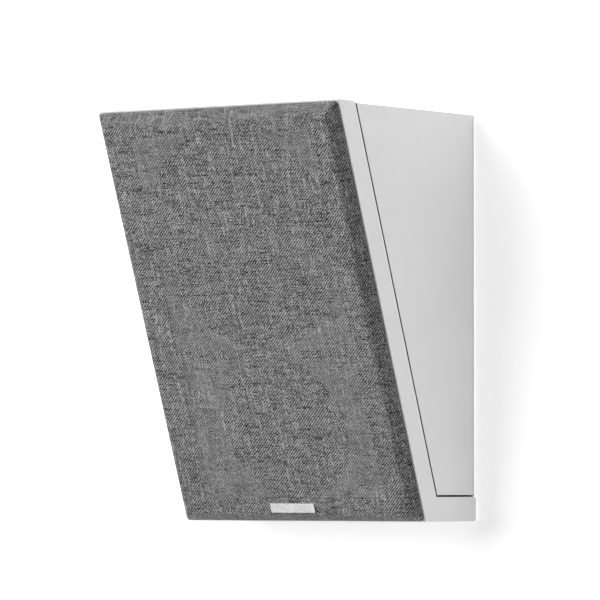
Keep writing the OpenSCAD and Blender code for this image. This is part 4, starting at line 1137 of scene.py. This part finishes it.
clamp_n, film = dome_top - 0.0055, 0.0004
throat_r = dome_r + 0.0022
small_r = (throat_r - dome_r - 0.0002) / 2
small_at = (dome_r + 0.0002 + small_r, clamp_n - film)
small_roll = arc(small_at, small_r, 180, 0, 12)
small_roll += [(throat_r, clamp_n), (throat_r + 0.003, clamp_n), (throat_r + 0.003, clamp_n - 2 * film),
               (throat_r - film, clamp_n - 2 * film)]
small_roll += arc(small_at, small_r - film, 0, 180, 10)
soft_ring("silk_roll", "dome_silk", "tweeter_surround", small_roll, at_tweeter,
          12)

# %% [markdown]
# ## Wadding
# Two pads of polyester wadding line the side walls. Wadding bulges between the places that hold
# it and has a loose skin. Each pad starts as a box inside the space that its CAD solid holds. The
# box is cut fine, its corners are smoothed away, and noise swells and dents the skin.

# %% Wadding
pad_low, pad_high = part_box("wadding")
inner = min(abs(v.co.x) for v in frame["nodes"]["wadding"].data.vertices)
size = Vector((pad_high.x - inner, pad_high.y - pad_low.y, pad_high.z - pad_low.z))
slice_w = 0.0035
for side in (-1, 1):
    middle = (pad_low + pad_high) / 2
    middle.x = side * (inner + size.x / 2)
    pad = bmesh.new()
    bmesh.ops.create_cube(pad, size=1)
    bmesh.ops.scale(pad, vec=size, verts=pad.verts)
    round_edges(pad, pad.edges[:], 0.004, 3)
    for axis, length in enumerate(size):
        way = Vector([axis == i for i in range(3)])
        for i in range(1, int(length / slice_w)):
            slice_across(pad, way * (i * slice_w - length / 2), way)
    for step in range(4):
        bmesh.ops.smooth_vert(pad, verts=pad.verts, factor=0.5,
                              use_axis_x=True, use_axis_y=True, use_axis_z=True)
    pad.normal_update()
    for vert in pad.verts:
        co = vert.co
        edge_pull = 1 - max(abs(co.y) / size.y, abs(co.z) / size.z) * 2
        swell = noise.noise(co * 55 + Vector((side * 9, 2, 0))) * 0.0011 + noise.noise(co * 170) * 0.0005
        co += vert.normal * (swell - 0.0011 + 0.0006 * min(edge_pull * 3, 1))
    pad_piece = finish_piece(pad, "wadding_" + ("right" if side > 0 else "left"), "wadding_wool", "cabinet",
                             ["wadding"], Matrix.Translation(middle), sharp=180)

# %% [markdown]
# ## Crossover parts
# The coils are bobbins with copper wound round them, the capacitors are film rolls with rounded
# ends, and the resistors are ceramic blocks. Each is made once in its own flat drawing and placed
# on the board, at the places of its CAD solid.

# %% Coils
board_face = span("crossover_board", on_wall)[1].z
for name in ("woofer_inductor", "tweeter_inductor"):
    low, high = span(name, on_wall)
    r, height = (high.x - low.x) / 2, high.z - low.z
    place = on_wall @ Matrix.Translation(((low.x + high.x) / 2, (low.y + high.y) / 2, low.z))
    core, cheek = r * 0.32, 0.0015
    foot = [(core, 0), (r - 0.0004, 0), (r, 0.0004), (r, cheek - 0.0003), (r - 0.0003, cheek),
            (core + 0.0012, cheek)]
    head = [(radius, height - up) for radius, up in reversed(foot)]
    bobbin = turned(foot + head)
    finish_piece(bobbin, name + "_bobbin", "nylon", "cabinet", [name], place)
    wire_r = 0.0004
    lines = int((height - 2 * cheek) / (2 * wire_r))
    pitch = (height - 2 * cheek) / lines
    layer = [(core + 0.0013, cheek + 0.00005)]
    for i in range(lines):
        layer += arc((r - 0.0016 - wire_r, cheek + pitch * (i + 0.5)), pitch / 2 * 0.98, -80, 80, 4)
    winding = turned(layer + [(core + 0.0013, height - cheek - 0.00005)], steps=72)
    finish_piece(winding, name + "_winding", "copper_wire", "cabinet", (), place, sharp=180)

# %% Capacitors and resistors
low, high = span("capacitors", on_wall)
can_r = 0.006
profile = rounded_line([(0, 0), (can_r, 0), (can_r, high.x - low.x), (0, high.x - low.x)], 0.0018, 5)
for i, y in enumerate((low.y + can_r, high.y - can_r)):
    lying = Matrix.Rotation(math.pi / 2, 4, "Y")
    can = turned(profile, closed=False, steps=48)
    place = on_wall @ Matrix.Translation((low.x, y, board_face + can_r)) @ lying
    finish_piece(can, f"film_capacitor_{i + 1}", "capacitor_film", "cabinet", ["capacitors"], place)

blocks = cad_copy("resistors")
round_edges(blocks, corner_edges(blocks, lambda co: True), 0.0005, 2)
finish_piece(blocks, "ceramic_resistors", "resistor_ceramic", "cabinet", ["resistors"], even_shading=True)

# %% [markdown]
# ## Leads
# Six insulated wires join the posts, the board and the drivers' blades. A curve with a round
# bevel is the natural way to make a wire: two end points and two handles bend it smoothly, and
# the handles point straight out of each terminal. One of each pair is red, to tell the poles.

# %% A lead
wire_skin_r = 0.00098


def wire(name, node_name, ends, handles, paint):
    """A round wire between two ends, which sets off from each towards its handle."""
    data = bpy.data.curves.new(name, "CURVE")
    data.dimensions = "3D"
    spline = data.splines.new("BEZIER")
    spline.bezier_points.add(1)
    for point, end, handle in zip(spline.bezier_points, ends, handles):
        point.handle_left_type = point.handle_right_type = "FREE"
        point.co, point.handle_left, point.handle_right = end, handle, handle
    data.resolution_u = 28
    data.bevel_depth = wire_skin_r
    data.bevel_resolution = 3
    data.use_fill_caps = True
    data.materials.append(finishes[paint])
    piece = bpy.data.objects.new(name, data)
    scene.collection.objects.link(piece)
    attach(piece, "cabinet")
    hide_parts(node_name)
    print(name, round(spline.calc_length() * 1000, 1), "mm long")


# %% Where the leads end
post_low, post_high = span("post_studs", on_wall)
board_low, board_high = span("crossover_board", on_wall)
board_mid = (board_low + board_high) / 2
knob_low, knob_high = span("red_knob", on_wall)
post_x = (knob_low.x + knob_high.x) / 2
post_y = (post_low.y + post_high.y) / 2


def from_board(x, y):
    """A place on the face of the crossover board, y counted from its middle line."""
    return on_wall @ Vector((x, board_mid.y + y, board_face))


def blade_middle(node_name, place, side):
    """The tip of one blade of a driver's terminals."""
    points = [place.inverted() @ v.co for v in frame["nodes"][node_name].data.vertices]
    tip = min(p.z for p in points)
    ends = [p for p in points if p.z < tip + 0.0001 and p.y * side > 0]
    return sum(ends, Vector()) / len(ends)


print("posts", round(post_x * 2000, 1), "mm apart; board from", round(board_low.x * 1000, 1), "to",
      round(board_high.x * 1000, 1), "mm")

# %% Six leads
for side, colour in ((-1, "black"), (1, "red")):
    paint = "lead_red" if side > 0 else "lead_pvc"
    foot = on_wall @ Vector((side * post_x, post_y, post_high.z))
    pad = from_board(side * 0.0055 - 0.002, board_low.y - board_mid.y + 0.004)
    ahead = Vector((0, -0.009, 0))
    wire(f"input_lead_{colour}", "input_leads", (foot, pad), (foot + ahead, pad + ahead), paint)
    tip = blade_middle("woofer_terminals", at_woofer, side)
    pad = from_board(board_high.x - 0.003, side * 0.0035)
    wire(f"woofer_lead_{colour}", "woofer_leads", (pad, at_woofer @ tip),
         (pad + Vector((0, -0.014, 0)), at_woofer @ (tip - Vector((0, 0, 0.014)))), paint)
    tip = blade_middle("tweeter_terminals", at_tweeter, side)
    pad = from_board(board_low.x + 0.0025, side * 0.0035)
    wire(f"tweeter_lead_{colour}", "tweeter_leads", (pad, at_tweeter @ tip),
         (pad + Vector((0, -0.020 - 0.006 * side, 0)),
          at_tweeter @ (tip - Vector((0, 0, 0.030 - 0.006 * side)))), paint)

# %% [markdown]
# ## Terminal cup, knobs, back plate and grille frame
# The cup and the frame are moulded with soft edges, the knobs have rounded flutes, and the steel
# plate is broken along its rim. All are merged copies of their CAD solids with their outer edges
# rounded. The frame's front fold is rounded widest, because the cloth is pulled over it.

# %% Cup and knobs
cup = cad_copy("terminal_cup")
cup_low = span("terminal_cup", on_wall)[0]
wall_face = on_wall.inverted()
edges = corner_edges(cup, lambda co: (wall_face @ co).z < cup_low.z + 0.0001, 40)
round_edges(cup, edges, 0.0006, 3)
finish_piece(cup, "moulded_cup", "cup_plastic", "cabinet", ["terminal_cup"], even_shading=True)

for colour in ("red", "black"):
    knob = cad_copy(colour + "_knob")
    knob_low = span(colour + "_knob", on_wall)[0].z
    edges = corner_edges(knob, lambda co: (wall_face @ co).z < knob_low + 0.0001, 40)
    round_edges(knob, edges, 0.0005, 3)
    finish_piece(knob, colour + "_grip_knob", "knob_" + colour, colour + "_grip", [colour + "_knob"],
                 even_shading=True)

# %% Back plate and grille frame
plate_copy = cad_copy("back_plate")
edges = corner_edges(plate_copy, lambda co: (abs(abs(co.x) - back_high.x) < CLOSE
                                             or co.z > back_high.z - CLOSE
                                             or co.z < back_low.z + CLOSE), 40)
round_edges(plate_copy, edges, 0.0004, 2)
finish_piece(plate_copy, "steel_back_plate", "plate_paint", "cabinet", ["back_plate"], even_shading=True)

frame_copy = cad_copy("grille_frame")
fold_x = frame_high.x - slope_in - 0.0004
fold_s = (frame_high.y - frame_low.y) / 2 - slope_in - 0.0004
outer = corner_edges(frame_copy, lambda co: abs(co.x) > fold_x or abs((flat @ co).y - middle_s) > fold_s, 40)
round_edges(frame_copy, outer, 0.0024, 5)
round_edges(frame_copy, corner_edges(frame_copy, lambda co: True, 40), 0.0005, 2)
bmesh.ops.dissolve_degenerate(frame_copy, edges=frame_copy.edges, dist=1e-6)
finish_piece(frame_copy, "moulded_grille_frame", "grille_plastic", "grille", ["grille_frame"],
             even_shading=True)
